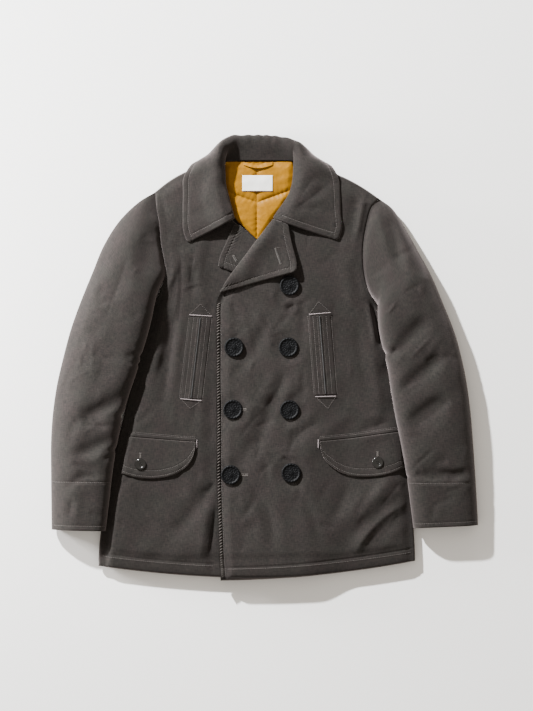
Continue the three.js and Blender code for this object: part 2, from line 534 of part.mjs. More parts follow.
/** A sleeve: rings from the armhole to the cuff, pressed flat where they rest, with an open inside. */
function sleeveGeometry(rows, panel, restOn) {
  const rings = 21;
  const around = 18;
  const outer = [];
  const inner = [];
  const armholeEnd = panel.armpit / (panel.rows.length - 1);
  for (let i = 0; i <= rings; i++) {
    const v = i / rings;
    const ox = column(rows, "outerX", v);
    const oy = column(rows, "outerY", v);
    const ix = column(rows, "innerX", v);
    const iy = column(rows, "innerY", v);
    const height = column(rows, "height", v);
    const wall = column(rows, "wall", v);
    const width = Math.hypot(ox - ix, oy - iy);
    const follow = 1 - smooth(0, 0.2, v); // the first rings follow the armhole's curve
    const outwards = Math.sign(ox);
    const plan = (c) => {
      const seamV = c * armholeEnd;
      const offX = column(panel.rows, "sideX", seamV) - lerp(rows[0].outerX, rows[0].innerX, c);
      const offY = column(panel.rows, "sideY", seamV) - lerp(rows[0].outerY, rows[0].innerY, c);
      const gap = outwards * ARMHOLE_GAP;
      return [lerp(ox, ix, c) + (offX + gap) * follow, lerp(oy, iy, c) + offY * follow];
    };
    const middle = SLEEVE_MIDDLE * height;
    const pinch = 1.5 * Math.exp(-(((1 - v) * SLEEVE_LENGTH - CUFF_BAND) ** 2) / 60);
    const faces = (c) => {
      const [x, y] = plan(c);
      const bulge = 2 * Math.sqrt(Math.max(0, c * (1 - c)));
      const rest = restOn(x, y);
      const bottom = Math.max(0, rest, middle * (1 - SLEEVE_UNDER_REACH * Math.sqrt(bulge)));
      const puff = (height - middle - pinch) * bulge ** SLEEVE_TOP_POWER;
      const folds = foldRelief(SLEEVE_FOLDS, x, y) * bulge * smooth(0, 0.06, v);
      return { x, y, bulge, bottom, top: Math.max(middle + puff + folds, bottom + 3 * bulge) };
    };
    const outerRing = [];
    const innerRing = [];
    for (let j = 0; j < around; j++) {
      const angle = (2 * Math.PI * j) / around;
      const c = 0.5 - 0.5 * Math.cos(angle);
      const upward = Math.sin(angle) >= 0;
      const skin = faces(c);
      outerRing.push(new THREE.Vector3(skin.x, skin.y, upward ? skin.top : skin.bottom));
      const narrow = (width - 2 * wall - 1) / width;
      const hollow = faces(0.5 + (c - 0.5) * narrow);
      const centre = (hollow.top + hollow.bottom) / 2;
      const half = Math.max((hollow.top - hollow.bottom) / 2 - wall, 0.8) * Math.min(1, 2 * skin.bulge);
      innerRing.push(new THREE.Vector3(hollow.x, hollow.y, centre + (upward ? half : -half)));
    }
    outer.push(outerRing);
    inner.push(innerRing);
  }
  return wallGeometry(outer, inner, true);
}

/** What a sleeve's underside clears below the armpit: the front's side and all that lies on it. */
function sideRest(panel, carriers, x, y) {
  const row = locate(panel, x, y).v * (panel.rows.length - 1);
  const below = smooth(panel.armpit - 0.1, panel.armpit + 0.5, row);
  if (below === 0) return 0;
  const level = Math.max(...carriers.map((facets) => facets(x, y, 8)));
  return level > 0 ? below * (level + LAYER_GAP + 0.4) : 0;
}

/** Both faces of a folded sheet, half its thickness each way from its middle surface. */
function sheetGeometry(middle, thick) {
  const rows = middle.length;
  const cols = middle[0].length;
  const outer = [];
  const inner = [];
  for (let i = 0; i < rows; i++) {
    const a = [];
    const b = [];
    for (let j = 0; j < cols; j++) {
      const down = middle[Math.min(i + 1, rows - 1)][j].clone().sub(middle[Math.max(i - 1, 0)][j]);
      const over = middle[i][Math.min(j + 1, cols - 1)].clone().sub(middle[i][Math.max(j - 1, 0)]);
      const normal = down.cross(over).normalize();
      a.push(middle[i][j].clone().addScaledVector(normal, thick / 2));
      b.push(middle[i][j].clone().addScaledVector(normal, -thick / 2));
    }
    outer.push(a);
    inner.push(b);
  }
  return wallGeometry(outer, inner);
}

function collarGeometry() {
  const sections = 34;
  const samples = 9;
  const middle = [];
  for (let i = 0; i <= sections; i++) {
    const t = i / sections;
    const knot = (name) => new THREE.Vector3(...[0, 1, 2].map((part) => column(COLLAR, name, t, part)));
    const knots = ["seam", "stand", "crest", "fall", "edge"].map(knot);
    const line = new THREE.CatmullRomCurve3(knots, false, "centripetal").getPoints(samples);
    for (const point of line) point.z = Math.max(point.z, COLLAR_THICK / 2 + 0.1); // above the table
    middle.push(line);
  }
  return sheetGeometry(middle, COLLAR_THICK);
}

/** A lapel: rolled at its roll line, where it tucks back onto the front's edge, and lying on the front. */
function lapelGeometry(rows, top, crestRise) {
  const sections = 9;
  const samples = 9;
  const middle = [];
  const half = LAPEL_THICK / 2;
  for (let i = 0; i <= sections; i++) {
    const v = i / sections;
    const roll = new THREE.Vector2(column(rows, "rollX", v), column(rows, "rollY", v));
    const edge = new THREE.Vector2(column(rows, "edgeX", v), column(rows, "edgeY", v));
    const width = roll.distanceTo(edge);
    const at = (d) => roll.clone().lerp(edge, d / width);
    const reach = Math.min(1, width / 60); // narrow sections roll less
    const tuck = at((ROLL_IN + 4) * reach);
    const onFront = top(tuck.x, tuck.y, 4);
    const rest = (q) => Math.max(top(q.x, q.y, 4), onFront) + half + 0.45;
    const tuckZ = rest(tuck);
    const crest = at(12 * reach);
    const crestZ = Math.max(rest(crest) + 1, tuckZ + crestRise * reach);
    const nose = at(half);
    const line = [];
    const curl = [
      [tuck, tuckZ],
      [nose, (tuckZ + crestZ) / 2],
      [crest, crestZ],
    ];
    if (crestRise > 0) for (const [q, z] of curl) line.push(new THREE.Vector3(q.x, q.y, z));
    const startZ = crestRise > 0 ? crestZ : rest(nose);
    const startD = crestRise > 0 ? 12 * reach : 0;
    for (let k = crestRise > 0 ? 1 : 0; k <= samples; k++) {
      const t = k / samples;
      const q = at(lerp(startD, width, t));
      const z = lerp(startZ, rest(edge) + column(rows, "lift", v), t);
      line.push(new THREE.Vector3(q.x, q.y, Math.max(z, rest(q))));
    }
    middle.push(line);
  }
  return sheetGeometry(middle, LAPEL_THICK);
}

/** 0 in a quilting seam, 1 on the puff between seams. */
function quiltPuff(x, y, withCentre = true) {
  const chevron = (y - QUILT_POINT_Y - QUILT_SLOPE * Math.abs(x - CENTRE_X)) / QUILT_PITCH;
  const toChevron = Math.abs(chevron - Math.round(chevron)) * QUILT_PITCH;
  const toCentre = withCentre ? Math.abs(x - CENTRE_X) : Infinity;
  return (1 - Math.exp(-((toChevron / QUILT_WIDTH) ** 2))) * (1 - Math.exp(-((toCentre / 8) ** 2)));
}
const liningUnder = () => BACK_THICK + LAYER_GAP;
function liningTop(x, y, p = locate(lining, x, y), withCentre = true) {
  const border = smooth(0, 12, Math.min(p.side, p.edge, 353.5 - y));
  return liningUnder() + QUILT_VALLEY + QUILT_PUFF * quiltPuff(x, y, withCentre) * lerp(0.3, 1, border);
}

/** The height of a wall's highest facet over a place, or over the places within reach of it. */
function facetsOf(geometry) {
  const points = geometry.attributes.position;
  const index = geometry.index;
  const upper = [];
  for (let k = 0; k < index.count; k += 3) {
    const corners = [0, 1, 2].map((n) => new THREE.Vector3().fromBufferAttribute(points, index.getX(k + n)));
    const facet = new THREE.Triangle(...corners);
    if (facet.getNormal(new THREE.Vector3()).z > 0) upper.push(facet);
  }
  const heightAt = (x, y) => {
    let height = -Infinity;
    for (const { a, b, c } of upper) {
      const area = (b.x - a.x) * (c.y - a.y) - (c.x - a.x) * (b.y - a.y);
      const s = ((x - a.x) * (c.y - a.y) - (c.x - a.x) * (y - a.y)) / area;
      const t = ((b.x - a.x) * (y - a.y) - (x - a.x) * (b.y - a.y)) / area;
      if (s < -1e-6 || t < -1e-6 || s + t > 1 + 1e-6) continue;
      height = Math.max(height, a.z + s * (b.z - a.z) + t * (c.z - a.z));
    }
    return height;
  };
  return (x, y, reach = 0) => {
    let height = heightAt(x, y);
    if (reach === 0) return height;
    for (let k = 0; k < 8; k++) {
      const a = (k * Math.PI) / 4;
      height = Math.max(height, heightAt(x + reach * Math.cos(a), y + reach * Math.sin(a)));
      height = Math.max(height, heightAt(x + 0.5 * reach * Math.cos(a), y + 0.5 * reach * Math.sin(a)));
    }
    return height;
  };
}

/** A flat piece that lies on another: a grid in plan, its under face moved up from what carries it. */
function lyingGeometry(columns, rows, plan, under, thick) {
  const outer = [];
  const inner = [];
  for (let i = 0; i <= rows; i++) {
    const upper = [];
    const lower = [];
    for (let j = 0; j <= columns; j++) {
      const [x, y] = plan(j / columns, i / rows);
      const z = under(x, y, j / columns, i / rows);
      upper.push(new THREE.Vector3(x, y, z + thick));
      lower.push(new THREE.Vector3(x, y, z));
    }
    outer.push(upper);
    inner.push(lower);
  }
  return wallGeometry(outer, inner);
}

/** A button, turned about its axis: domed back, raised rim and a dished face. */
function buttonGeometry(radius, height, segments) {
  const profile = [
    [0, 0],
    [radius * 0.62, 0],
    [radius, height * 0.4],
    [radius * 0.97, height * 0.85],
    [radius * 0.84, height],
    [radius * 0.7, height * 0.72],
    [0, height * 0.62],
  ].map(([x, y]) => new THREE.Vector2(x, y));
  return new THREE.LatheGeometry(profile, segments).rotateX(Math.PI / 2);
}

const coat = new THREE.Group();

function add(name, geometry, material, x = 0, y = 0, z = 0) {
  const mesh = new THREE.Mesh(geometry, material);
  mesh.name = name;
  mesh.position.set(x, y, z);
  coat.add(mesh);
  return mesh;
}

// Body panels
const backUnder = (x, y) => UNDER_COLLAR_RISE * smooth(270, 288, y);
add("back", panelGeometry(back, 10, 17, backUnder, backTop, [0, 1.5, 5], HEM_STOPS), SHELL);
const rightSideStops = [0, 1.5, 5, 12, 17, 22, 28];
const frontRight = panelGeometry(right, 9, 22, rightUnder, rightTop, rightSideStops, HEM_STOPS);
add("front_right", frontRight, SHELL);
const leftSideStops = [0, 1.5, 5, 11, 18, 26];
const onRight = facetsOf(frontRight);
const clearOfRight = (x, y) => Math.max(leftUnder(x, y), onRight(x, y, 6) + 0.5);
const frontLeft = panelGeometry(left, 13, 22, clearOfRight, leftTop, leftSideStops, HEM_STOPS);
add("front_left", frontLeft, SHELL);
const onLeft = facetsOf(frontLeft);

// Collar and lapels
add("collar", collarGeometry(), SHELL);
add("lapel_left", lapelGeometry(LEFT_LAPEL, onLeft, 12), SHELL);
add("lapel_right", lapelGeometry(RIGHT_LAPEL, onRight, 0), SHELL);

// Lining, hanger loop and label at the back neck
const liningWall = panelGeometry(lining, 12, 12, liningUnder, (x, y, p) => liningTop(x, y, p), [0, 1.5, 5]);
add("lining_back", liningWall, QUILT);
const onLining = facetsOf(liningWall);
const labelPlan = (s, t) => [LABEL.x + (s - 0.5) * LABEL.width, LABEL.y + (0.5 - t) * LABEL.height];
const labelUnder = (x, y) => onLining(x, y, 4) + 0.4;
add("label", lyingGeometry(6, 3, labelPlan, labelUnder, LABEL.thick), WOVEN_WHITE);
const hangerPlan = (s, t) => [
  lerp(HANGER.leftX, HANGER.rightX, s),
  HANGER.y - HANGER.sag * Math.sin(Math.PI * s) + (0.5 - t) * HANGER.width,
];
add("hanger_loop", lyingGeometry(10, 1, hangerPlan, (x, y) => onLining(x, y, 4) + 0.5, HANGER.thick), QUILT);

// Hand pocket lips, one on each side of a slit
for (const welt of WELTS) {
  const top = welt.name === "right" ? onRight : onLeft;
  for (const side of [-1, 1]) {
    const plan = (s, t) => {
      const off = side * (SLIT_WIDTH / 2 + s * WELT_WIDTH);
      return [lerp(welt.topX, welt.footX, t) + off, lerp(welt.topY, welt.footY, t) + off * 0.02];
    };
    const name = `welt_${welt.name}_${side * (welt.name === "right" ? -1 : 1) > 0 ? "outer" : "inner"}`;
    add(name, lyingGeometry(2, 9, plan, (x, y) => top(x, y, 5) + 0.4, WELT_THICK), SHELL);
  }
}

// Flaps and the folded strips that they hang from
const flaps = [
  { name: "right", rows: RIGHT_FLAP, top: onRight },
  { name: "left", rows: LEFT_FLAP, top: onLeft },
];
for (const flap of flaps) {
  const { name, rows, top } = flap;
  const topX = (s) => column(rows, "topX", s);
  const topY = (s) => column(rows, "topY", s);
  const footX = (s) => column(rows, "footX", s);
  const footY = (s) => column(rows, "footY", s);
  const plan = (s, t) => [lerp(topX(s), footX(s), t), lerp(topY(s), footY(s), t)];
  const inward = (s) => (name === "left" ? 1 - s : s);
  const under = (x, y, s, t) => top(x, y, 6) + 0.5 + FLAP_LIFT * smooth(0, 1, t) * inward(s);
  const wall = lyingGeometry(12, 4, plan, under, FLAP_THICK);
  add(`flap_${name}`, wall, SHELL);
  flap.face = facetsOf(wall);
  const jetPlan = (s, t) => [topX(s), topY(s) + SEAM_GAP + (1 - t) * JET_WIDTH];
  const jet = lyingGeometry(10, 1, jetPlan, (x, y) => top(x, y, 6) + 0.5, JET_THICK);
  add(`jet_${name}`, jet, SHELL);
  flap.jetFace = facetsOf(jet);
}

// Sleeves
const onRightSide = (x, y) => sideRest(right, [onRight], x, y);
const onLeftSide = (x, y) => sideRest(left, [onLeft, flaps[1].face, flaps[1].jetFace], x, y);
add("sleeve_right", sleeveGeometry(RIGHT_SLEEVE, right, onRightSide), SHELL);
add("sleeve_left", sleeveGeometry(LEFT_SLEEVE, left, onLeftSide), SHELL);

// Buttons
for (const { name, x, y } of BIG_BUTTONS) {
  const z = onLeft(x, y, BUTTON_RADIUS) + 0.3;
  add(name, buttonGeometry(BUTTON_RADIUS, BUTTON_HEIGHT, 16), BLACK_RESIN, x, y, z);
}
for (const { name, x, y } of FLAP_BUTTONS) {
  const { face } = flaps.find((f) => name.endsWith(f.name));
  const z = face(x, y, FLAP_BUTTON_RADIUS) + 0.3;
  add(name, buttonGeometry(FLAP_BUTTON_RADIUS, FLAP_BUTTON_HEIGHT, 12), DARK_HORN, x, y, z);
}

export default coat;
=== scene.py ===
# %% [markdown]
# # A padded pea coat, laid out flat
# A double-breasted coat lies face up on a pale surface, seen from straight above.
# The solids of the coat are loaded first. Each is then replaced by a finer piece in the same place,
# worked out with numpy from the tables that a pattern cutter would recognise: levels down a panel,
# sections along a sleeve, sections round a collar. Sizes are in millimetres until a mesh is made.

# %% Load the frame
import math
import bpy
import numpy as np
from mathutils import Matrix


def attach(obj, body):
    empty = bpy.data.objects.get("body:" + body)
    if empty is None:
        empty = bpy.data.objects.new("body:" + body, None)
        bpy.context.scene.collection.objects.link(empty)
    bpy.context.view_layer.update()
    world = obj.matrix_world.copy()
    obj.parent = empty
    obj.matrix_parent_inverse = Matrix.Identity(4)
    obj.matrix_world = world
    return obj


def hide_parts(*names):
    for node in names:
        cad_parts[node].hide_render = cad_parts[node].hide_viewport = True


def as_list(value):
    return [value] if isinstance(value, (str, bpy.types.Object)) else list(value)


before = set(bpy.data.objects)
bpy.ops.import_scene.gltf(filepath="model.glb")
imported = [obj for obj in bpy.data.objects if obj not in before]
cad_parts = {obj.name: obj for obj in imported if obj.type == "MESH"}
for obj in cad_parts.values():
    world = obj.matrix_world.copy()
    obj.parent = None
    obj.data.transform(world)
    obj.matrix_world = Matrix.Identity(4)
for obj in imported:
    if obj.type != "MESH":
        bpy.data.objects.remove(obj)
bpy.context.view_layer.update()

MM = 0.001


# %% [markdown]
# ## Reading a pattern table
# A table has a row for each level of a panel. Between rows a smooth curve is read off, as a cutter
# joins marks with a French curve. The curve passes through every mark.

# %% Curves through tables
def smooth(low, high, x):
    """0 below low, 1 above high, and 3t^2 - 2t^3 between."""
    t = np.clip((x - low) / (high - low), 0, 1)
    return t * t * (3 - 2 * t)


def lerp(a, b, t):
    return a + (b - a) * t


def column(values, t):
    """Catmull-Rom curve through the values, read at t from 0 (first) to 1 (last)."""
    values = np.asarray(values, float)
    last = len(values) - 1
    place = np.clip(t, 0, 1) * last
    i = np.minimum(place.astype(int), last - 1)
    f = place - i
    ends = np.concatenate([[2 * values[0] - values[1]], values, [2 * values[-1] - values[-2]]])
    a, b, c, d = ends[i], ends[i + 1], ends[i + 2], ends[i + 3]
    return b + 0.5 * f * (c - a + f * (2 * a - 5 * b + 4 * c - d + f * (3 * (b - c) + d - a)))


def table(names, rows):
    """Turns rows of numbers into named columns."""
    return dict(zip(names.split(), np.array(rows, float).T))


# %% [markdown]
# ## The three body panels
# The back lies flat. The right front lies on it, and the left front laps over the right one.
# Each row gives a level: where it meets the armhole or side seam, where it meets the neckline,
# roll line or front edge, and how far it arches up at its middle.

# %% Tables of the body
LEVEL = "side_x side_y edge_x edge_y bow"
right_front = table(LEVEL, [
    (-197, 299, -82, 346, 14), (-195, 272, -80, 316, 9), (-190, 243, -72, 286, 5),
    (-187, 208, -62, 254, 2), (-181, 176, -31, 223, 0), (-178, 150, -5, 192, 0),
    (-192, 114, 22, 156, 0), (-206, 84, 50, 118, 0), (-216, 50, 60, 62, 0),
    (-227, 5, 61, 6, 0), (-240, -45, 61, -45, 0), (-252, -95, 60, -98, 0),
    (-264, -145, 60, -150, 0), (-276, -195, 60, -205, -1), (-287, -250, 59, -260, -3),
    (-294, -300, 58, -315, -5), (-299, -343, 57, -362, -7), (-300, -376, 57, -397, -8)])
left_front = table(LEVEL, [
    (206, 287, 66, 346, 12), (192, 270, 62, 318, 8), (184, 243, 50, 286, 5),
    (178, 209, 27, 252, 2), (177, 176, 2, 215, 0), (181, 141, -35, 170, 0),
    (191, 112, -66, 134, 0), (208, 84, -86, 102, 0), (220, 50, -88, 60, 0),
    (231, 5, -88, 5, 0), (240, -45, -88, -45, 0), (249, -95, -87, -98, 0),
    (257, -145, -87, -150, 0), (264, -195, -87, -205, -1), (268, -250, -86, -260, -3),
    (269, -300, -84, -315, -5), (271, -338, -82, -366, -7), (272, -367, -79, -402, -8)])
back_panel = table(LEVEL, [
    (-195, 297, 204, 285, 57), (-194, 271, 190, 269, 50), (-189, 242, 182, 242, 39),
    (-186, 207, 176, 208, 28), (-180, 175, 176, 175, 18), (-177, 149, 180, 140, 10),
    (-190, 114, 190, 111, 5), (-204, 84, 206, 84, 0), (-214, 50, 218, 50, 0),
    (-225, 5, 229, 5, 0), (-238, -45, 238, -45, 0), (-250, -95, 247, -95, 0),
    (-262, -145, 255, -145, -2), (-274, -195, 262, -195, -4), (-285, -250, 266, -250, -8),
    (-292, -300, 267, -300, -12), (-297, -341, 269, -336, -16), (-298, -372, 270, -363, -20)])
lining = table(LEVEL, [
    (-70, 353.5, 51, 353.5, 0), (-74, 326, 53.5, 326, 0), (-67, 290, 45, 290, 0),
    (-55, 254, 20, 254, 0), (-33, 231, 4, 231, 0), (-16, 215, -7, 215, 0)])
right_front.update(power=2, armpit=5.3, low=12, high=28)
left_front.update(power=2, armpit=6.0, low=5, high=26)
back_panel.update(power=3, armpit=5.6)
lining.update(power=2, armpit=0)
print("levels:", len(right_front["bow"]), len(left_front["bow"]), len(back_panel["bow"]))

# %% Sizes of the padded cloth
LAYER_GAP = 0.9
BACK_THICK, FRONT_THICK, OVERLAP_THICK, COVERED_THICK = 10, 14, 12, 10
HEM_THICK, BACK_HEM_THICK, EDGE_THICK = 6, 8.5, 7.5
HEM_PUFF = 12  # the turned-up hem at its row of stitches
LAPEL_THICK, COLLAR_THICK = 3.8, 3.4
HEM_BAND, CUFF_BAND = 24, 77
EDGE_STITCH = 10  # front edge to its row of stitches
COLLAR_STITCH = 11


# %% [markdown]
# ## Where a point lies on a panel
# Every panel is a ruled grid: u runs from the side to the edge, v from the shoulder to the hem.
# Thickness depends on how far a point is from each border, so the distances travel with the point.

# %% Points of a panel
def panel_point(panel, u, v):
    """Straight from side to edge at each level, plus bow * (1 - |2u - 1|^power)."""
    side_x, side_y = column(panel["side_x"], v), column(panel["side_y"], v)
    edge_x, edge_y = column(panel["edge_x"], v), column(panel["edge_y"], v)
    arch = 1 - np.abs(2 * u - 1) ** panel["power"]
    x = lerp(side_x, edge_x, u)
    y = lerp(side_y, edge_y, u) + column(panel["bow"], v) * arch
    return x, y, np.hypot(edge_x - side_x, edge_y - side_y)


def measured(panel, x, y, u, v, width):
    """Adds the distances to side, edge, shoulder (head) and hem (foot)."""
    head = panel_point(panel, u, np.zeros_like(v))[1] - y
    foot = y - panel_point(panel, u, np.ones_like(v))[1]
    return dict(x=x, y=y, u=u, v=v, side=u * width, edge=(1 - u) * width, head=head, foot=foot)


def locate(panel, x, y):
    """Finds u and v of places given in plan by halving the range of v."""
    x, y = np.broadcast_arrays(np.asarray(x, float), np.asarray(y, float))
    low, high = np.zeros(x.shape), np.ones(x.shape)
    for _ in range(20):
        v = (low + high) / 2
        side_x = column(panel["side_x"], v)
        u = (x - side_x) / (column(panel["edge_x"], v) - side_x)
        above = panel_point(panel, u, v)[1] > y
        low, high = np.where(above, v, low), np.where(above, high, v)
    width = panel_point(panel, u, v)[2]
    return measured(panel, x, y, u, v, width)


NEAR = np.array([0, 0.25, 0.8, 1.7, 2.9, 4.4, 6.2, 8.3])


def spaced(length, count):
    """Distances along a length: crowded at both ends, where the cloth rounds off, even between."""
    length = np.asarray(length, float)[..., None]
    share = np.minimum(1, 0.4 * length / NEAR[-1])
    start, end = share * NEAR, length - share * NEAR[::-1]
    inner = lerp(start[..., -1:], end[..., :1], np.linspace(0, 1, count + 1)[1:-1])
    return np.concatenate([start, inner, end], -1)


def panel_grid(panel, across, down):
    """A grid of places, (down + 14) by (across + 14) cells."""
    length = abs(panel["side_y"][0] - panel["side_y"][-1])
    v = (spaced(length, down) / length)[:, None]
    width = panel_point(panel, np.zeros_like(v), v)[2]
    u = spaced(width[:, 0], across) / width
    v = np.broadcast_to(v, u.shape)
    x, y, width = panel_point(panel, u, v)
    return measured(panel, x, y, u, v, width)


print("one level of the right front:", panel_point(right_front, np.array([0.5]), np.array([0.5]))[0])

# %% [markdown]
# ## Folds, creases and soft waves
# A coat full of wadding never lies smooth. The main folds are placed where the photo has them: each is a bent line
# with a bell-shaped section. Short creases and slow waves fill the rest.

# %% Fold tables
FOLD = "x1 y1 x2 y2 x3 y3 width depth"
front_folds = np.array([
    (-158, 196, -168, 80, -188, -80, 11, -7), (-146, 180, -150, 60, -168, -70, 10, 4),
    (-132, 170, -131, 140, -126, 112, 9, -4), (-100, -215, -108, -280, -190, -335, 15, -4),
    (172, 300, 160, 262, 158, 200, 14, -5), (150, 190, 152, 120, 150, 20, 20, 3),
    (262, -250, 200, -275, 145, -340, 15, -6), (248, -222, 178, -240, 120, -320, 16, 3),
    (-60, -40, -20, 10, 15, 80, 12, -3), (-45, -195, 5, -120, 30, -40, 13, -3.5),
    (60, -190, 120, -120, 170, -90, 16, 2.5)], float)
sleeve_folds = np.array([
    (-200, 255, -212, 200, -215, 140, 16, -5), (-236, -56, -280, -95, -335, -105, 13, -5),
    (-258, -140, -300, -160, -350, -178, 12, -4), (220, 262, 236, 215, 246, 150, 13, -5),
    (222, -10, 255, 40, 300, 75, 14, -5), (232, -75, 280, -25, 325, 5, 14, -5),
    (244, -130, 290, -85, 335, -70, 13, -4), (262, -204, 320, -212, 372, -205, 9, -4)], float)
small_folds = np.array([
    (-86, -250, -96, -300, -101, -350, 8, -2.0), (-176, 60, -182, 0, -196, -60, 7, -2.0),
    (-120, 200, -128, 160, -140, 120, 9, 1.8), (-150, 262, -128, 236, -118, 204, 10, -1.6),
    (-110, -20, -122, -70, -128, -120, 8, -1.5), (-235, -240, -215, -270, -200, -320, 10, -1.8),
    (-150, -232, -120, -262, -98, -312, 9, 1.6), (20, -60, 10, -100, -10, -150, 8, -1.6),
    (-20, 90, 0, 60, 14, 30, 8, 1.5), (70, 120, 66, 60, 72, 10, 8, -1.6),
    (72, -20, 66, -70, 74, -130, 8, -1.4), (-30, -230, 0, -260, 20, -330, 11, -2.0),
    (60, -230, 90, -280, 100, -350, 10, -2.0), (150, -225, 140, -262, 118, -300, 9, -1.8),
    (205, -222, 180, -250, 160, -290, 8, -1.8), (150, 250, 140, 215, 128, 196, 9, -1.8),
    (165, 60, 172, 0, 185, -60, 9, -1.8), (140, -85, 160, -110, 200, -126, 9, -1.6),
    (196, 30, 200, -30, 214, -90, 8, 1.8), (206, 10, 224, -70, 229, -128, 15, -5.0),
    (-188, 286, -176, 240, -172, 196, 9, -1.8), (-200, -90, -215, -110, -240, -124, 7, -1.5)], float)


crisp_folds = np.array([
    (-153, 205, -144, 120, -160, 40, 6, -3.2), (-158, 70, -172, 10, -180, -90, 6, -2.6),
    (-128, 196, -129, 160, -138, 122, 6, -2.4), (-90, -225, -98, -238, -108, -248, 5, -2.6),
    (-84, -262, -92, -300, -100, -362, 6, -3.4), (2, -92, -24, -112, -47, -150, 9, -2.8),
    (264, -276, 206, -300, 176, -356, 9, -2.4), (252, -217, 228, -244, 206, -276, 9, -3.2),
    (226, -112, 200, -128, 168, -128, 8, -3.2), (35, -20, 32, -66, -10, -102, 8, -3.0),
    (104, -116, 66, -122, 47, -160, 8, -2.6), (30, -178, 40, -183, 54, -191, 4, -2.4),
    (-8, -158, -12, -170, -15, -186, 6, -1.8), (180, 312, 192, 262, 183, 214, 6, -2.6),
    (38, 84, 46, 92, 58, 96, 5, -2.2), (150, 178, 166, 140, 176, 96, 8, -2.6),
    (120, 60, 132, 20, 128, -40, 9, -1.8), (-60, 60, -50, 52, -30, 50, 6, -1.4),
    (0, -250, 16, -300, 12, -352, 9, -1.6), (-214, -262, -190, -300, -160, -318, 8, -2.2),
    (192, 112, 204, 66, 210, 12, 4.5, -9.5)], float)
sleeve_crisp = np.array([
    (-222, -16, -234, -6, -250, 10, 6, -4.5), (-246, -100, -254, -110, -268, -122, 6, -3.5),
    (-260, -160, -274, -172, -292, -188, 6, -4.0), (-352, -186, -318, -196, -280, -218, 7, -2.2),
    (-340, -204, -318, -208, -296, -222, 5, -1.8), (-334, -106, -306, -112, -276, -132, 9, -2.8),
    (-345, -250, -348, -270, -352, -290, 6, -1.6), (-316, -276, -304, -282, -290, -292, 6, -1.6),
    (-240, 200, -262, 120, -290, 60, 11, -2.4), (-300, 150, -316, 90, -330, 30, 12, 2.0),
    (214, 292, 224, 238, 242, 186, 7, -4.0), (219, -6, 228, 6, 240, 20, 6, -4.5),
    (286, -10, 300, 0, 322, 6, 12, -3.0), (258, -132, 290, -110, 336, -76, 12, -4.0),
    (270, -202, 276, -220, 330, -219, 5, -3.6), (326, -219, 346, -216, 366, -205, 6, -2.6),
    (300, -190, 318, -186, 330, -182, 7, -2.0), (262, 140, 280, 110, 296, 70, 10, -2.0),
    (300, -262, 302, -280, 300, -296, 6, -1.4)], float)
collar_crisp = np.array([
    (48, 262, 84, 286, 120, 316, 6, -1.8), (52, 266, 78, 270, 104, 268, 6, -1.3),
    (56, 276, 72, 300, 92, 330, 7, -1.3), (-70, 262, -96, 270, -124, 268, 8, -1.0),
    (-90, 330, -106, 300, -104, 268, 8, 0.9)], float)


def line_distance(x, y, ax, ay, bx, by):
    """Distance to a straight piece, and how far along it the nearest point is, 0 to 1."""
    dx, dy = bx - ax, by - ay
    t = np.clip(((x - ax) * dx + (y - ay) * dy) / (dx * dx + dy * dy), 0, 1)
    return np.hypot(x - ax - t * dx, y - ay - t * dy), t


def fold_relief(folds, x, y, steps=10, crisp=False):
    """Each fold adds depth * exp(-(distance / width)^2), fading to a fifth at its two ends.

    A crisp one has a sharp valley, depth * exp(-distance / width), between raised shoulders.
    """
    total = np.zeros(np.shape(x))
    t = np.linspace(0, 1, steps + 1)
    for x1, y1, x2, y2, x3, y3, width, depth in folds:
        px = (1 - t) ** 2 * x1 + 2 * t * (1 - t) * x2 + t ** 2 * x3
        py = (1 - t) ** 2 * y1 + 2 * t * (1 - t) * y2 + t ** 2 * y3
        nearest, along = np.full(np.shape(x), np.inf), np.zeros(np.shape(x))
        for k in range(steps):
            d, s = line_distance(x, y, px[k], py[k], px[k + 1], py[k + 1])
            closer = d < nearest
            nearest = np.where(closer, d, nearest)
            along = np.where(closer, (k + s) / steps, along)
        ends = smooth(0, 0.3, along) * (1 - smooth(0.7, 1, along))
        q = nearest / width
        if crisp:
            section = np.exp(-np.sqrt(q * q + 0.02)) - 0.35 * np.exp(-((q - 2.2) / 1.1) ** 2)
            total += depth * section * ends
        else:
            total += depth * np.exp(-q * q) * (0.8 * ends + 0.2)
    return total


cliffs = np.array([
    (266, -254, 188, -290, 160, -356, 8, 9, 42), (-160, 200, -152, 122, -168, 58, 6.5, 6, 20),
    (-152, 178, -154, 92, -190, -128, -4.6, 22, 9), (256, -214, 236, -240, 208, -272, 2.5, 10, 26),
    (-89, -250, -95, -296, -107, -366, 5.5, 5, 32), (2, -88, -24, -110, -48, -152, 2.6, 11, 26),
    (176, 318, 184, 262, 176, 206, 3.5, 7, 22)], float)


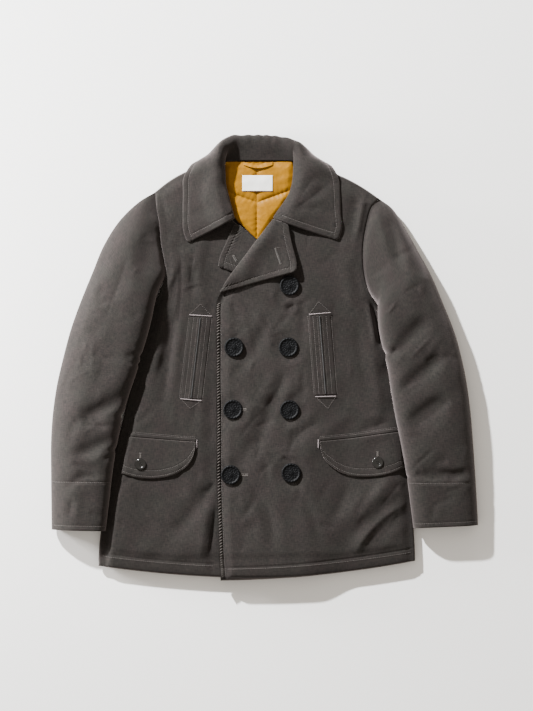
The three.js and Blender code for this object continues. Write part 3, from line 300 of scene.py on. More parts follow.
def cliff_relief(x, y):
    """Sharp ridges that face the lamp: a long rise towards it and a short steep drop away from it."""
    total = np.zeros(np.shape(x))
    t = np.linspace(0, 1, 11)
    for x1, y1, x2, y2, x3, y3, rise, drop, run in cliffs:
        px = (1 - t) ** 2 * x1 + 2 * t * (1 - t) * x2 + t ** 2 * x3
        py = (1 - t) ** 2 * y1 + 2 * t * (1 - t) * y2 + t ** 2 * y3
        nearest, along, lee = (np.full(np.shape(x), v) for v in (np.inf, 0.0, 0.0))
        for k in range(10):
            d, s = line_distance(x, y, px[k], py[k], px[k + 1], py[k + 1])
            qx, qy = lerp(px[k], px[k + 1], s), lerp(py[k], py[k + 1], s)
            closer = d < nearest
            lee = np.where(closer, (x - qx) * 0.6 - (y - qy) * 0.8, lee)
            along = np.where(closer, (k + s) / 10, along)
            nearest = np.where(closer, d, nearest)
        q = (np.sqrt(nearest ** 2 + 2.0) - 1.4) / np.where(lee > 0, drop, run)
        total += rise * np.exp(-q ** 1.4) * smooth(0, 0.3, along) * (1 - smooth(0.75, 1, along))
    return total


def crease_field(seed, count, box, slant, spread, depth):
    """Short creases: seeded middles in a box, directions around a slant in degrees."""
    rng = np.random.default_rng(seed)
    (x0, y0), (x1, y1) = box
    cx, cy = rng.uniform(x0, x1, count), rng.uniform(y0, y1, count)
    turn = np.radians(slant + spread * rng.standard_normal(count))
    half = rng.uniform(9, 34, count)
    dx, dy = half * np.cos(turn), half * np.sin(turn)
    bend = rng.normal(0, 4, count)
    mx, my = cx - np.sin(turn) * bend, cy + np.cos(turn) * bend
    width = rng.uniform(3.2, 8, count)
    height = depth * rng.uniform(-1, 0.75, count)
    return np.stack([cx - dx, cy - dy, mx, my, cx + dx, cy + dy, width, height], 1)


def soft_waves(x, y, seed, low, high, size):
    """Sum of seeded sine waves with lengths from low to high, of overall size about size."""
    rng = np.random.default_rng(seed)
    total = np.zeros(np.shape(x))
    for _ in range(16):
        turn, start = rng.uniform(0, math.pi), rng.uniform(0, 2 * math.pi)
        length = rng.uniform(low, high)
        total += np.sin(2 * math.pi * (x * math.cos(turn) + y * math.sin(turn)) / length + start)
    return size * total / 4


def sewn_line(d, s, depth=0.9, pitch=6.7, pucker=0.45, reach=5.0):
    """A row of stitches sinks the cloth: a groove at d = 0, and small puckers slanting across it."""
    groove = -depth * np.exp(-(d / 1.7) ** 2)
    uneven = 0.65 + 0.35 * np.sin(s / 23.0 + 1.3)
    ripple = pucker * uneven * np.sin(2 * math.pi * (s + 0.7 * d) / pitch + 0.9 * np.sin(s / 31.0))
    return groove + ripple * np.exp(-(d / reach) ** 2)


front_creases = np.concatenate([
    crease_field(3, 46, ((-262, -330), (-95, 250)), 78, 26, 1.3),
    crease_field(8, 95, ((-80, -350), (235, 250)), 66, 34, 1.3)])
sleeve_creases = np.concatenate([
    crease_field(15, 44, ((-380, -150), (-290, 230)), 66, 14, 1.3),
    crease_field(5, 60, ((-382, -300), (-195, 250)), 12, 30, 1.6),
    crease_field(6, 66, ((200, -300), (382, 250)), 24, 30, 1.8)])
print("folds:", len(front_folds) + len(small_folds) + len(sleeve_folds), "creases:", len(front_creases))


# %% [markdown]
# ## Thickness and height of the body
# The layers are stacked as on the table: back, right front, left front. Wadding fills them out
# between the seams. At a front edge, a hem or an armhole the layers are sewn together and thin.

# %% Heights of the body's faces
def armhole_share(panel, v):
    row = v * (len(panel["bow"]) - 1)
    return 1 - smooth(panel["armpit"], panel["armpit"] + 1.2, row)


def back_top(x, y):
    p = locate(back_panel, x, y)
    shaped = lerp(smooth(0, 40, np.minimum(p["side"], p["edge"])), 1, armhole_share(back_panel, p["v"]))
    thick = lerp(HEM_THICK, BACK_THICK, shaped)
    return lerp(np.minimum(thick, BACK_HEM_THICK), thick, smooth(HEM_BAND, HEM_BAND + 14, p["foot"]))


def front_thickness(panel, p, full, edged=True):
    """Full inside, EDGE_THICK at the front edge, low beside the side seam, pinched at the armhole."""
    at_side = lerp(smooth(panel["low"], panel["high"], p["side"]), lerp(0.6, 1, smooth(0, 20, p["side"])),
                   armhole_share(panel, p["v"]))
    at_edge = smooth(6, 26, p["edge"]) if edged else 1.0
    at_side = np.minimum(at_side, smooth(-8, 26, p["head"]))
    inner = np.minimum(lerp(EDGE_THICK, full, at_side), lerp(EDGE_THICK, full, at_edge))
    swell = np.sqrt(np.clip(1 - (1 - np.clip(p["foot"], 0, HEM_BAND) / HEM_BAND) ** 2, 0, 1))
    hem = lerp(HEM_THICK, HEM_PUFF, swell)
    return lerp(np.minimum(hem, inner), inner, smooth(HEM_BAND, HEM_BAND + 14, p["foot"]))


BIG_BUTTONS = {"button_overlap_1": (-54.9, 18.7), "button_overlap_2": (-57.2, -93.2),
               "button_overlap_3": (-61.2, -210.8), "button_display_1": (44.8, 129.2),
               "button_display_2": (42.7, 18.7), "button_display_3": (44.8, -94), "button_display_4": (47.7, -207.2)}
FLAP_BUTTONS = {"flap_button_right": (-223.4, -191.5), "flap_button_left": (203.4, -188.6)}


def button_dimples(x, y):
    """The thread pulls each large button into the wadding: level under it, then rising around."""
    return -2.6 * sum(1 - smooth(16, 36, np.hypot(x - bx, y - by)) for bx, by in BIG_BUTTONS.values())


def right_under(x, y):
    return back_top(x, y) + LAYER_GAP


def sewn_borders(p):
    """Puckers at the hem's stitching."""
    return sewn_line(p["foot"] - HEM_BAND, p["x"], 1.1, 8.0, 0.35, 7.0)


def right_top(x, y, p=None):
    p = locate(right_front, x, y) if p is None else p
    full = lerp(FRONT_THICK, COVERED_THICK, smooth(-118, -94, p["x"]))
    thick = front_thickness(right_front, p, full)
    bare = 1 - smooth(-95, -85, p["x"])
    open_cloth = (1 - smooth(-112, -96, p["x"])) * smooth(0, 22, p["side"] - 7.2) * smooth(10, 40, p["foot"])
    folds = fold_relief(front_folds, p["x"], p["y"]) * open_cloth
    fine = fold_relief(small_folds, p["x"], p["y"]) + fold_relief(front_creases, p["x"], p["y"], 2)
    fine = fine + fold_relief(crisp_folds, p["x"], p["y"], 8, True) + cliff_relief(p["x"], p["y"])
    fine = fine + soft_waves(p["x"], p["y"], 11, 38, 110, 0.5)
    calm = smooth(2, 16, p["side"]) * smooth(4, 30, p["foot"]) * smooth(2, 20, p["head"]) * bare
    return right_under(x, y) + thick + folds + fine * calm + sewn_borders(p) * smooth(0, 14, p["side"]) * bare


def over_right(x, y, p=None):
    """1 over the right front, 0 well beyond its edge."""
    p = locate(right_front, x, y) if p is None else p
    return smooth(-95, -6, p["edge"])


def left_under(x, y):
    p = locate(right_front, x, y)
    over = over_right(x, y, p)
    t = (x + 84) / (53 + 84)
    over_lapel = smooth(-40, -8, y - lerp(165, 115, t)) * over * (1 - smooth(250, 290, y))
    covered = front_thickness(right_front, p, COVERED_THICK, False) + LAYER_GAP
    lapel = (LAPEL_THICK + 2 * LAYER_GAP + 1) * over_lapel
    return back_top(x, y) + LAYER_GAP + covered * over + lapel


def left_top(x, y, p=None):
    p = locate(left_front, x, y) if p is None else p
    full = lerp(OVERLAP_THICK, FRONT_THICK, smooth(60, 120, p["x"]))
    thick = front_thickness(left_front, p, full)
    open_cloth = smooth(0, 22, p["side"] - 5) * smooth(8, 34, p["edge"]) * smooth(10, 40, p["foot"])
    folds = fold_relief(front_folds, p["x"], p["y"]) * open_cloth
    fine = fold_relief(small_folds, p["x"], p["y"]) + fold_relief(front_creases, p["x"], p["y"], 2)
    fine = fine + fold_relief(crisp_folds, p["x"], p["y"], 8, True) + cliff_relief(p["x"], p["y"])
    fine = fine + soft_waves(p["x"], p["y"], 12, 38, 110, 0.5)
    calm = smooth(2, 16, p["side"]) * smooth(4, 30, p["foot"]) * smooth(2, 20, p["head"])
    calm = calm * lerp(0.25, 1, smooth(8, 24, p["edge"]))
    roll = (2.4 - 0.52 * p["edge"]) * (1 - smooth(7.5, 10.5, p["edge"]))
    edge = sewn_line(p["edge"] - EDGE_STITCH, p["y"], 1.0, 6.7, 0.3, 6.0) * smooth(0.5, 4, p["edge"])
    edge = edge + roll
    relief = folds + fine * calm + edge + button_dimples(p["x"], p["y"])
    return left_under(x, y) + thick + relief + sewn_borders(p) * smooth(0, 14, p["side"])


# %% [markdown]
# ## Making closed meshes from grids
# Cloth pieces are a fine upper grid over a coarser lower grid. The two are joined round their
# borders, so every piece is one closed wall. Cloth coordinates go into the piece's UV map in
# metres, so the weave keeps its real size and follows the piece.

# %% Mesh makers
def grid_quads(rows, cols, start=0, around=False):
    """Four corners of each cell of a grid; the last column joins the first if the grid goes around."""
    i = np.arange(rows - 1)[:, None]
    j = np.arange(cols if around else cols - 1)[None, :]
    k = (j + 1) % cols
    cells = np.stack([i * cols + j, i * cols + k, (i + 1) * cols + k, (i + 1) * cols + j], -1)
    return cells.reshape(-1, 4) + start


def border_strip(fine, coarse, step, flip):
    """Triangles between a fine border and a border with every step-th point."""
    k = np.arange(len(coarse) - 1)
    m = k[:, None] * step + np.arange(step)
    fans = np.stack([fine[m + 1], fine[m], np.broadcast_to(coarse[k][:, None], m.shape)], -1).reshape(-1, 3)
    caps = np.stack([fine[(k + 1) * step], coarse[k], coarse[k + 1]], -1)
    tris = np.concatenate([fans, caps])
    return tris[:, ::-1] if flip else tris


def signed_volume(points, quads, tris):
    t = np.concatenate([quads[:, [0, 1, 2]], quads[:, [0, 2, 3]], tris]) if len(quads) else tris
    a, b, c = points[t[:, 0]], points[t[:, 1]], points[t[:, 2]]
    return np.einsum("ij,ij->i", a, np.cross(b, c)).sum() / 6


pieces = []


def mesh_piece(name, points, quads, tris, material, uv=None):
    """One closed object at the origin, its faces turned outwards, smooth shaded."""
    points = np.asarray(points, float).reshape(-1, 3)
    quads, tris = np.asarray(quads, int).reshape(-1, 4), np.asarray(tris, int).reshape(-1, 3)
    if signed_volume(points, quads, tris) < 0:
        quads, tris = quads[:, ::-1], tris[:, ::-1]
    mesh = bpy.data.meshes.new(name)
    mesh.from_pydata((points * MM).tolist(), [], quads.tolist() + tris.tolist())
    mesh.polygons.foreach_set("use_smooth", np.ones(len(mesh.polygons), bool))
    if uv is not None:
        corners = np.empty(len(mesh.loops), int)
        mesh.loops.foreach_get("vertex_index", corners)
        layer = mesh.uv_layers.new(name="cloth")
        layer.data.foreach_set("uv", (np.asarray(uv, float).reshape(-1, 2)[corners] * MM).ravel())
    mesh.update()
    piece = bpy.data.objects.new(name, mesh)
    bpy.context.scene.collection.objects.link(piece)
    piece.data.materials.append(material)
    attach(piece, "root")
    pieces.append(piece)
    return piece


def wall_piece(name, upper, lower, material, uv, step=4, around=False):
    """Closed wall from an upper grid and a lower grid that has every step-th row and column."""
    rows, cols = upper.shape[:2]
    low_rows, low_cols = lower.shape[:2]
    top = np.arange(rows * cols).reshape(rows, cols)
    low = np.arange(low_rows * low_cols).reshape(low_rows, low_cols) + rows * cols
    quads = np.concatenate([grid_quads(rows, cols, 0, around),
                            grid_quads(low_rows, low_cols, rows * cols, around)[:, ::-1]])
    if around:
        top, low = np.column_stack([top, top[:, 0]]), np.column_stack([low, low[:, 0]])
    strips = [border_strip(top[0], low[0], step, False), border_strip(top[-1], low[-1], step, True)]
    if not around:
        strips += [border_strip(top[:, 0], low[:, 0], step, True),
                   border_strip(top[:, -1], low[:, -1], step, False)]
    points = np.concatenate([upper.reshape(-1, 3), lower.reshape(-1, 3)])
    uvs = np.concatenate([uv.reshape(-1, 2), uv[::step, ::step].reshape(-1, 2)])
    return mesh_piece(name, points, quads, np.concatenate(strips), material, uvs)


def rim(d, radius=4.0, share=0.14):
    """Share of the thickness at distance d from an edge: a quarter round, from share up to 1."""
    t = 1 - np.clip(d / radius, 0, 1)
    return share + (1 - share) * np.sqrt(1 - t * t)


def xyz(x, y, z):
    return np.stack(np.broadcast_arrays(x, y, z), -1)


# %% [markdown]
# ## Materials
# The shell is a cotton and wool cloth woven from a greenish grey and a mauve brown yarn, matt, with
# no shine but a faint bloom at grazing angles. Its threads are about half a millimetre apart,
# too fine for the picture, so the mottling is drawn a little coarser than life.

# %% Node and colour helpers
def linear(code):
    """sRGB hex to linear red, green, blue, alpha."""
    rgb = np.array([int(code[k:k + 2], 16) for k in (1, 3, 5)]) / 255
    return (*np.where(rgb <= 0.04045, rgb / 12.92, ((rgb + 0.055) / 1.055) ** 2.4), 1.0)


def add(tree, kind, values=None, **settings):
    """Adds a node with its settings; values are numbers for its sockets, or sockets to link."""
    node = tree.nodes.new(kind)
    for key, value in settings.items():
        setattr(node, key, value)
    for key, value in (values or {}).items():
        if isinstance(value, bpy.types.NodeSocket):
            tree.links.new(value, node.inputs[key])
        else:
            node.inputs[key].default_value = value
    return node


def surface(name, values):
    """A material with one Principled shader; returns it with its tree and the shader."""
    material = bpy.data.materials.new(name)
    material.use_nodes = True
    shader = material.node_tree.nodes["Principled BSDF"]
    for key, value in values.items():
        shader.inputs[key].default_value = value
    return material, material.node_tree, shader


def mix(tree, factor, a, b, blend="MIX"):
    node = add(tree, "ShaderNodeMix", data_type="RGBA", blend_type=blend)
    for socket, value in ((node.inputs[0], factor), (node.inputs[6], a), (node.inputs[7], b)):
        if isinstance(value, bpy.types.NodeSocket):
            tree.links.new(value, socket)
        else:
            socket.default_value = value
    return node.outputs[2]


# %% Shell cloth
def woven_shell(name, dark, light, thread_mm=1.5):
    """Two-tone weave: streaks along warp and weft, mottled by a slow noise, with a thread bump."""
    material, tree, shader = surface(name, {"Roughness": 0.93, "Sheen Weight": 0.3, "Sheen Roughness": 0.45,
                                            "Sheen Tint": linear("#ead9d8"), "Specular IOR Level": 0.25})
    cloth = add(tree, "ShaderNodeUVMap", uv_map="cloth").outputs["UV"]
    warp = add(tree, "ShaderNodeMapping", {"Vector": cloth, "Scale": (1000 / thread_mm, 1000 / (6 * thread_mm), 1)})
    weft = add(tree, "ShaderNodeMapping", {"Vector": cloth, "Scale": (1000 / (6 * thread_mm), 1000 / thread_mm, 1)})
    up = add(tree, "ShaderNodeTexNoise", {"Vector": warp.outputs[0], "Scale": 1.0, "Detail": 2.0})
    over = add(tree, "ShaderNodeTexNoise", {"Vector": weft.outputs[0], "Scale": 1.0, "Detail": 2.0})
    slow = add(tree, "ShaderNodeTexNoise", {"Vector": cloth, "Scale": 28.0, "Detail": 3.0})
    both = add(tree, "ShaderNodeMath", {0: up.outputs["Fac"], 1: over.outputs["Fac"]}, operation="ADD")
    spread = add(tree, "ShaderNodeMapRange", {"Value": both.outputs[0], "From Min": 0.7, "From Max": 1.3})
    shade = mix(tree, spread.outputs[0], linear(dark), linear(light))
    cast = add(tree, "ShaderNodeMapRange", {"Value": slow.outputs["Fac"], "From Min": 0.35, "From Max": 0.65})
    tint = mix(tree, cast.outputs[0], linear("#f3fbf2"), linear("#fff2f2"))
    tree.links.new(mix(tree, 1.0, shade, tint, "MULTIPLY"), shader.inputs["Base Color"])
    bump = add(tree, "ShaderNodeBump", {"Height": both.outputs[0], "Strength": 0.35, "Distance": 0.0005})
    tree.links.new(bump.outputs[0], shader.inputs["Normal"])
    return material


SHELL_DARK, SHELL_LIGHT = "#0c0b0a", "#25211f"
shell_cloth = woven_shell("cotton_wool_shell", SHELL_DARK, SHELL_LIGHT)
print("made", shell_cloth.name)


# %% Lining, label, threads and buttons
def quilted_nylon():
    """Downproof nylon taffeta: smooth filament yarn, so a soft sheen, and fine random crumples."""
    material, tree, shader = surface("quilted_nylon", {"Roughness": 0.5, "Sheen Weight": 0.05,
                                                       "Specular IOR Level": 0.15})
    cloth = add(tree, "ShaderNodeUVMap", uv_map="cloth").outputs["UV"]
    crumple = add(tree, "ShaderNodeTexNoise", {"Vector": cloth, "Scale": 170.0, "Detail": 4.0, "Distortion": 0.6})
    tone = mix(tree, crumple.outputs["Fac"], linear("#764f00"), linear("#926300"))
    tree.links.new(tone, shader.inputs["Base Color"])
    bump = add(tree, "ShaderNodeBump", {"Height": crumple.outputs["Fac"], "Strength": 0.35, "Distance": 0.0012})
    tree.links.new(bump.outputs[0], shader.inputs["Normal"])
    return material


def satin_label():
    """Woven satin tape: fine ribs across it, a third of a millimetre apart."""
    material, tree, shader = surface("woven_satin_label", {"Roughness": 0.6, "Base Color": linear("#f1f0ec")})
    cloth = add(tree, "ShaderNodeUVMap", uv_map="cloth").outputs["UV"]
    ribs = add(tree, "ShaderNodeTexWave", {"Vector": cloth, "Scale": 480.0, "Distortion": 0.3},
               bands_direction="Y")
    tone = mix(tree, ribs.outputs["Fac"], linear("#dedcd8"), linear("#f0efec"))
    tree.links.new(tone, shader.inputs["Base Color"])
    bump = add(tree, "ShaderNodeBump", {"Height": ribs.outputs["Fac"], "Strength": 0.25, "Distance": 0.0002})
    tree.links.new(bump.outputs[0], shader.inputs["Normal"])
    return material


def spun_thread(name, code, code_light):
    """Sewing thread: a matt fibre, lighter and darker along its length."""
    material, tree, shader = surface(name, {"Roughness": 0.75, "Sheen Weight": 0.1})
    place = add(tree, "ShaderNodeTexCoord").outputs["Object"]
    noise = add(tree, "ShaderNodeTexNoise", {"Vector": place, "Scale": 450.0, "Detail": 1.0})
    tree.links.new(mix(tree, noise.outputs["Fac"], linear(code), linear(code_light)), shader.inputs["Base Color"])
    return material


def moulded_resin(name, code, code_worn, roughness, specular, coat):
    """Cast polyester button stock: near black, mottled a little paler by a fine noise."""
    material, tree, shader = surface(name, {"Roughness": roughness, "Coat Weight": coat, "Coat Roughness": 0.12,
                                            "IOR": 1.54, "Specular IOR Level": specular})
    place = add(tree, "ShaderNodeTexCoord").outputs["Object"]
    noise = add(tree, "ShaderNodeTexNoise", {"Vector": place, "Scale": 600.0, "Detail": 2.0})
    tree.links.new(mix(tree, noise.outputs["Fac"], linear(code), linear(code_worn)), shader.inputs["Base Color"])
    return material


nylon = quilted_nylon()
label_satin = satin_label()
topstitch = spun_thread("topstitch_thread", "#322d2a", "#443e3b")
bartack_thread = spun_thread("bartack_thread", "#84787a", "#a3999a")
# The slit material is black: it is painted shade laid along the open slits, not a thread colour.
slit_painted_shade = spun_thread("painted_slit_shade", "#050505", "#0b0a0a")
# The buttonhole thread colour also goes on the cloth ridges of the roped front edge. There it is a painted
# highlight.
thread_and_ridge_highlight = spun_thread("buttonhole_thread_and_ridge_highlight", "#3a3532", "#4c4642")
black_resin = moulded_resin("black_button_resin", "#070708", "#0d0e10", 0.5, 0.07, 0.0)
polished_horn = moulded_resin("polished_flap_button", "#050404", "#0b0a09", 0.2, 0.6, 0.0)

# %% [markdown]
# ## Back and fronts
# The three panels are made from their tables. The grid is about two millimetres fine, so a crease
# five millimetres wide is real geometry and throws its own shade.


# %% Body panels
def make_panel(name, panel, across, down, under, top, edge_share=0.14):
    p = panel_grid(panel, across, down)
    low = under(p["x"], p["y"])
    length = abs(panel["side_y"][0] - panel["side_y"][-1])
    nearest = np.minimum.reduce([p["side"], p["edge"], p["v"] * length, (1 - p["v"]) * length])
    seam = armhole_share(panel, p["v"]) * (p["side"] < p["edge"]) * (nearest == p["side"])
    share = lerp(np.where(nearest == p["edge"], edge_share, 0.14), 0.72, seam)
    high = low + np.maximum(top(p["x"], p["y"], p) - low, 1.5) * rim(nearest, 4.0, share)
    upper, lower = xyz(p["x"], p["y"], high), xyz(p["x"], p["y"], low)[::4, ::4]
    piece = wall_piece(name, upper, lower, shell_cloth, np.stack([p["x"], p["y"]], -1))
    print(name, upper.shape, "height", round(float(high.min()), 1), round(float(high.max()), 1))
    return piece, p


def back_under(x, y):
    """Flat on the table, and raised over the collar's fall at the neck."""
    return 5.4 * smooth(270, 288, y)


back, _ = make_panel("back_cloth", back_panel, 94, 150, back_under, lambda x, y, p: back_top(x, y))
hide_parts("back")
right_body, _ = make_panel("right_front_cloth", right_front, 160, 330, right_under, right_top)
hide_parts("front_right")
left_body, _ = make_panel("left_front_cloth", left_front, 166, 420, left_under, left_top, 1.0)
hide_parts("front_left")

# %% [markdown]
# ## Sleeves
# A sleeve is a padded tube that has been pressed flat where it rests. Its rings run from the armhole
# to the cuff. The outer skin carries the folds at elbow and cuff; the inside is a plain hollow.

# %% Sleeve tables
SECTION = "outer_x outer_y inner_x inner_y height wall"
right_sleeve = table(SECTION, [
    (-197.6, 301, -181, 139.6, 23, 8), (-228, 281, -187, 130, 40, 8), (-262, 246, -193.5, 114, 50, 8),
    (-290, 201, -198, 96, 54, 8), (-310, 153, -203, 72, 55, 8), (-330, 104, -210, 44, 54, 8),
    (-349, 51, -220, 10, 53, 8), (-364, -5, -231, -28, 52, 8), (-375, -54, -244, -66, 52, 8),
    (-382, -105, -256, -108, 52, 8), (-385, -155, -266, -157, 51, 8), (-385, -205, -274, -206, 49, 7),
    (-384.5, -257, -280, -258, 46, 5), (-384, -310, -286.5, -312, 43, 4)])
left_sleeve = table(SECTION, [
    (207, 288, 191, 112, 27, 8), (232, 268, 199, 101, 37, 8), (254, 232, 203, 88, 46, 8),
    (276, 192, 204, 74, 52, 8), (300, 148, 205, 57, 54, 8), (323, 94, 208, 38, 53, 8),
    (343, 43, 214, 11, 52, 8), (357, -10, 222, -22, 51, 8), (366, -58, 228, -62, 50, 8),
    (372, -108, 236, -108, 49, 8), (376, -158, 246, -158, 47, 8), (379.5, -208, 255, -208, 44, 7),
    (382.5, -256, 262, -258, 41, 5), (385, -302, 268, -307, 38, 4)])
NIPS = {  # places down the inner edge where a fold pulls it in: y, depth, half height
    -1: ((2.9, 2.6, 5), (-12, 1.8, 4), (-105, 3.0, 6), (-166, 2.4, 5)),
    1: ((94.7, 2.4, 6), (6.5, 3.0, 6), (-216, 1.4, 4))}
SLEEVE_LENGTH = 610
ARMHOLE_GAP = 0.15


# %% Sleeve surfaces
def sleeve_faces(rows, panel, top, c, v):
    """Plan point, underside and upper side at share c across (outer to inner) and v down the sleeve."""
    outer_x, outer_y = column(rows["outer_x"], v), column(rows["outer_y"], v)
    inner_x, inner_y = column(rows["inner_x"], v), column(rows["inner_y"], v)
    height = column(rows["height"], v)
    way = int(np.sign(rows["outer_x"][0]))
    inner_x = inner_x + way * sum(deep * np.exp(-((inner_y - y) / tall) ** 2) for y, deep, tall in NIPS[way])
    follow = 1 - smooth(0, 0.2, v)
    seam_v = c * panel["armpit"] / (len(panel["bow"]) - 1)
    chord_x = lerp(rows["outer_x"][0], rows["inner_x"][0], c)
    chord_y = lerp(rows["outer_y"][0], rows["inner_y"][0], c)
    gap = ARMHOLE_GAP * way
    x = lerp(outer_x, inner_x, c) + (column(panel["side_x"], seam_v) - chord_x + gap) * follow
    y = lerp(outer_y, inner_y, c) + (column(panel["side_y"], seam_v) - chord_y) * follow
    bulge = 2 * np.sqrt(np.clip(c * (1 - c), 0, 1))
    middle = 0.42 * height
    p = locate(panel, x, y)
    below = smooth(panel["armpit"] - 0.1, panel["armpit"] + 0.5, p["v"] * (len(panel["bow"]) - 1))
    on_body = smooth(-3, 0.5, p["side"]) * below
    side_height = top(x, y) if np.any(on_body > 0) else 0.0
    rest = on_body * (side_height + 1.5)
    bottom = np.maximum(np.maximum(0, rest), middle * (1 - 1.3 * np.sqrt(bulge)))
    up = (1 - v) * SLEEVE_LENGTH
    fullness = np.where(c > 0.5, 6.0, 2.0 if way < 0 else 4.0)  # how squarely each half is filled
    edge_drop = np.where(c > 0.5, 0.55, 0.75)
    puff = (height - middle) * (1 - np.clip(np.abs(2 * c - 1), 0, 1) ** fullness) ** edge_drop
    deep, wide = (7.5, 19) if way < 0 else (5.0, 12)
    seam_roll = deep * np.exp(-((v * SLEEVE_LENGTH / wide) ** 2))
    calm = bulge * smooth(0, 0.05, v)
    folds = fold_relief(sleeve_folds, x, y) * 1.2 + fold_relief(sleeve_creases, x, y, 2)
    folds = folds + fold_relief(sleeve_crisp, x, y, 8, True)
    waves = soft_waves(x, y, 21, 45, 130, 0.8)
    cuff = sewn_line(up - CUFF_BAND, x, 1.6, 8.0, 0.5, 6.0) + sewn_line(up - 7.5, x, 0.9, 6.5, 0.45, 5.0)
    seam = 0.5 * np.sin(c * 95 + 2 * np.sin(c * 21)) * np.exp(-((v * SLEEVE_LENGTH - 9) / 9) ** 2)
    upper = middle + puff + (folds + waves * smooth(0, 90, up)) * calm * smooth(4, 30, up) + cuff * bulge
    upper = upper + seam * calm - seam_roll * bulge
    return x, y, bottom, np.maximum(upper, bottom + 3 * bulge), bulge


def make_sleeve(name, rows, panel, top, node):
    rings, around = 264, 176
    v = (spaced(SLEEVE_LENGTH, rings - 14) / SLEEVE_LENGTH)[:, None]
    angle = 2 * math.pi * np.arange(around) / around
    c = np.broadcast_to((0.5 - 0.5 * np.cos(angle))[None, :], (len(v), around))
    v = np.broadcast_to(v, c.shape)
    upward = np.broadcast_to(np.sin(angle)[None, :] >= 0, c.shape)
    x, y, bottom, upper, _ = sleeve_faces(rows, panel, top, c, v)
    z = np.where(upward, upper, bottom)
    wall, height = column(rows["wall"], v), column(rows["height"], v)
    middle = (upper + bottom) / 2
    lip = rim((1 - v) * SLEEVE_LENGTH, 2.2, 0.0)
    z = middle + (z - middle) * (1 - 0.5 * (1 - lip) * wall / np.maximum(height / 2, 1))
    outer = xyz(x, y, z)
    width = np.hypot(column(rows["outer_x"], v) - column(rows["inner_x"], v),
                     column(rows["outer_y"], v) - column(rows["inner_y"], v))
    inner_c = 0.5 + (c - 0.5) * (width - 2 * wall - 1) / width
    step = 4
    pick = (slice(None, None, step), slice(None, None, step))
    hx, hy, low, high, bulge = sleeve_faces(rows, panel, top, inner_c[pick], v[pick])
    ring = 2 * np.sqrt(np.clip(c[pick] * (1 - c[pick]), 0, 1))
    half = np.maximum((high - low) / 2 - wall[pick], 0.8) * np.minimum(1, 2 * ring)
    hollow = xyz(hx, hy, (high + low) / 2 + np.where(upward[pick], half, -half))
    uv = np.stack([c * width, (1 - v) * SLEEVE_LENGTH], -1)
    piece = wall_piece(name, outer, hollow, shell_cloth, uv, step, True)
    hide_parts(node)
    print(name, outer.shape, "height", round(float(z.max()), 1))
    return piece


right_arm = make_sleeve("right_sleeve_cloth", right_sleeve, right_front, right_top, "sleeve_right")
left_arm = make_sleeve("left_sleeve_cloth", left_sleeve, left_front, left_top, "sleeve_left")

# %% [markdown]
# ## Collar
# The collar is one folded strip: a stand that rises from the neck seam, a rolled crest, and a fall
# that drops over it. Nineteen sections run from one wing tip round the back neck to the other. Behind
# the neck the fall tucks under the back, as it does when such a coat is laid down.

# %% Collar sections
collar_sections = np.array([
    [[-64, 243, 19.5], [-55, 250, 26], [-66, 243.5, 33], [-101, 225, 35], [-138.5, 206, 37]],
    [[-72, 266, 19.5], [-59.5, 267, 26], [-72, 262, 34], [-108, 247, 35], [-146.5, 229, 35]],
    [[-79, 290, 19.5], [-65, 288, 26], [-78, 284, 34], [-112, 274, 35], [-147.5, 260, 33]],
    [[-84, 316, 19.5], [-71, 313, 26], [-83, 309, 34], [-114, 302, 35], [-147, 294, 32]],
    [[-82, 351.5, 19], [-72.5, 340, 26], [-84, 336, 34], [-114, 330, 35], [-146, 323, 29.5]],
    [[-76, 354, 17], [-71, 362, 24], [-82, 362, 32], [-107, 356, 30], [-131, 348, 15]],
    [[-70, 355, 15], [-68, 378, 21], [-79, 381, 23], [-100, 367, 8], [-112, 350, 2.3]],
    [[-60, 355.5, 14], [-59, 391, 17], [-63, 397, 12], [-74, 377, 2.3], [-86, 330, 2.3]],
    [[-44, 355.5, 13.5], [-43, 393, 14], [-42, 399.5, 8], [-42, 388, 2.3], [-42, 320, 2.3]],
    [[-8, 355.5, 13.5], [-8, 393, 13.5], [-8, 399.8, 8], [-8, 388, 2.3], [-8, 317, 2.3]],
    [[28, 355.5, 13.5], [28, 390, 14], [28, 397.5, 8], [28, 386, 2.3], [28, 320, 2.3]],
    [[46, 355.5, 14], [48, 383, 17], [54, 390, 13], [62, 373, 2.3], [72, 329, 2.3]],
    [[54, 355, 15], [53, 376, 21], [65, 380, 23], [88, 365, 8], [100, 348, 2.3]],
    [[60, 354, 17], [53, 356, 24], [64, 357, 32], [95, 354, 30], [120, 345, 15]],
    [[66, 351.5, 19], [52.5, 334, 26], [65, 331, 34], [99, 327, 35], [133, 322, 29.5]],
    [[64, 316, 19.5], [50, 312, 26], [62, 308, 34], [98, 301, 35], [136, 293, 32]],
    [[55, 291, 19.5], [41, 288, 26], [53, 284, 34], [91, 273, 35], [137.5, 260, 33]],
    [[42, 270, 19.5], [29, 270, 26], [41, 265, 34], [86, 250, 35], [139.5, 233, 35]],
    [[27, 252, 19.5], [16.5, 251.5, 26], [29, 245.5, 33], [78, 228, 35], [133.5, 211, 37]]])


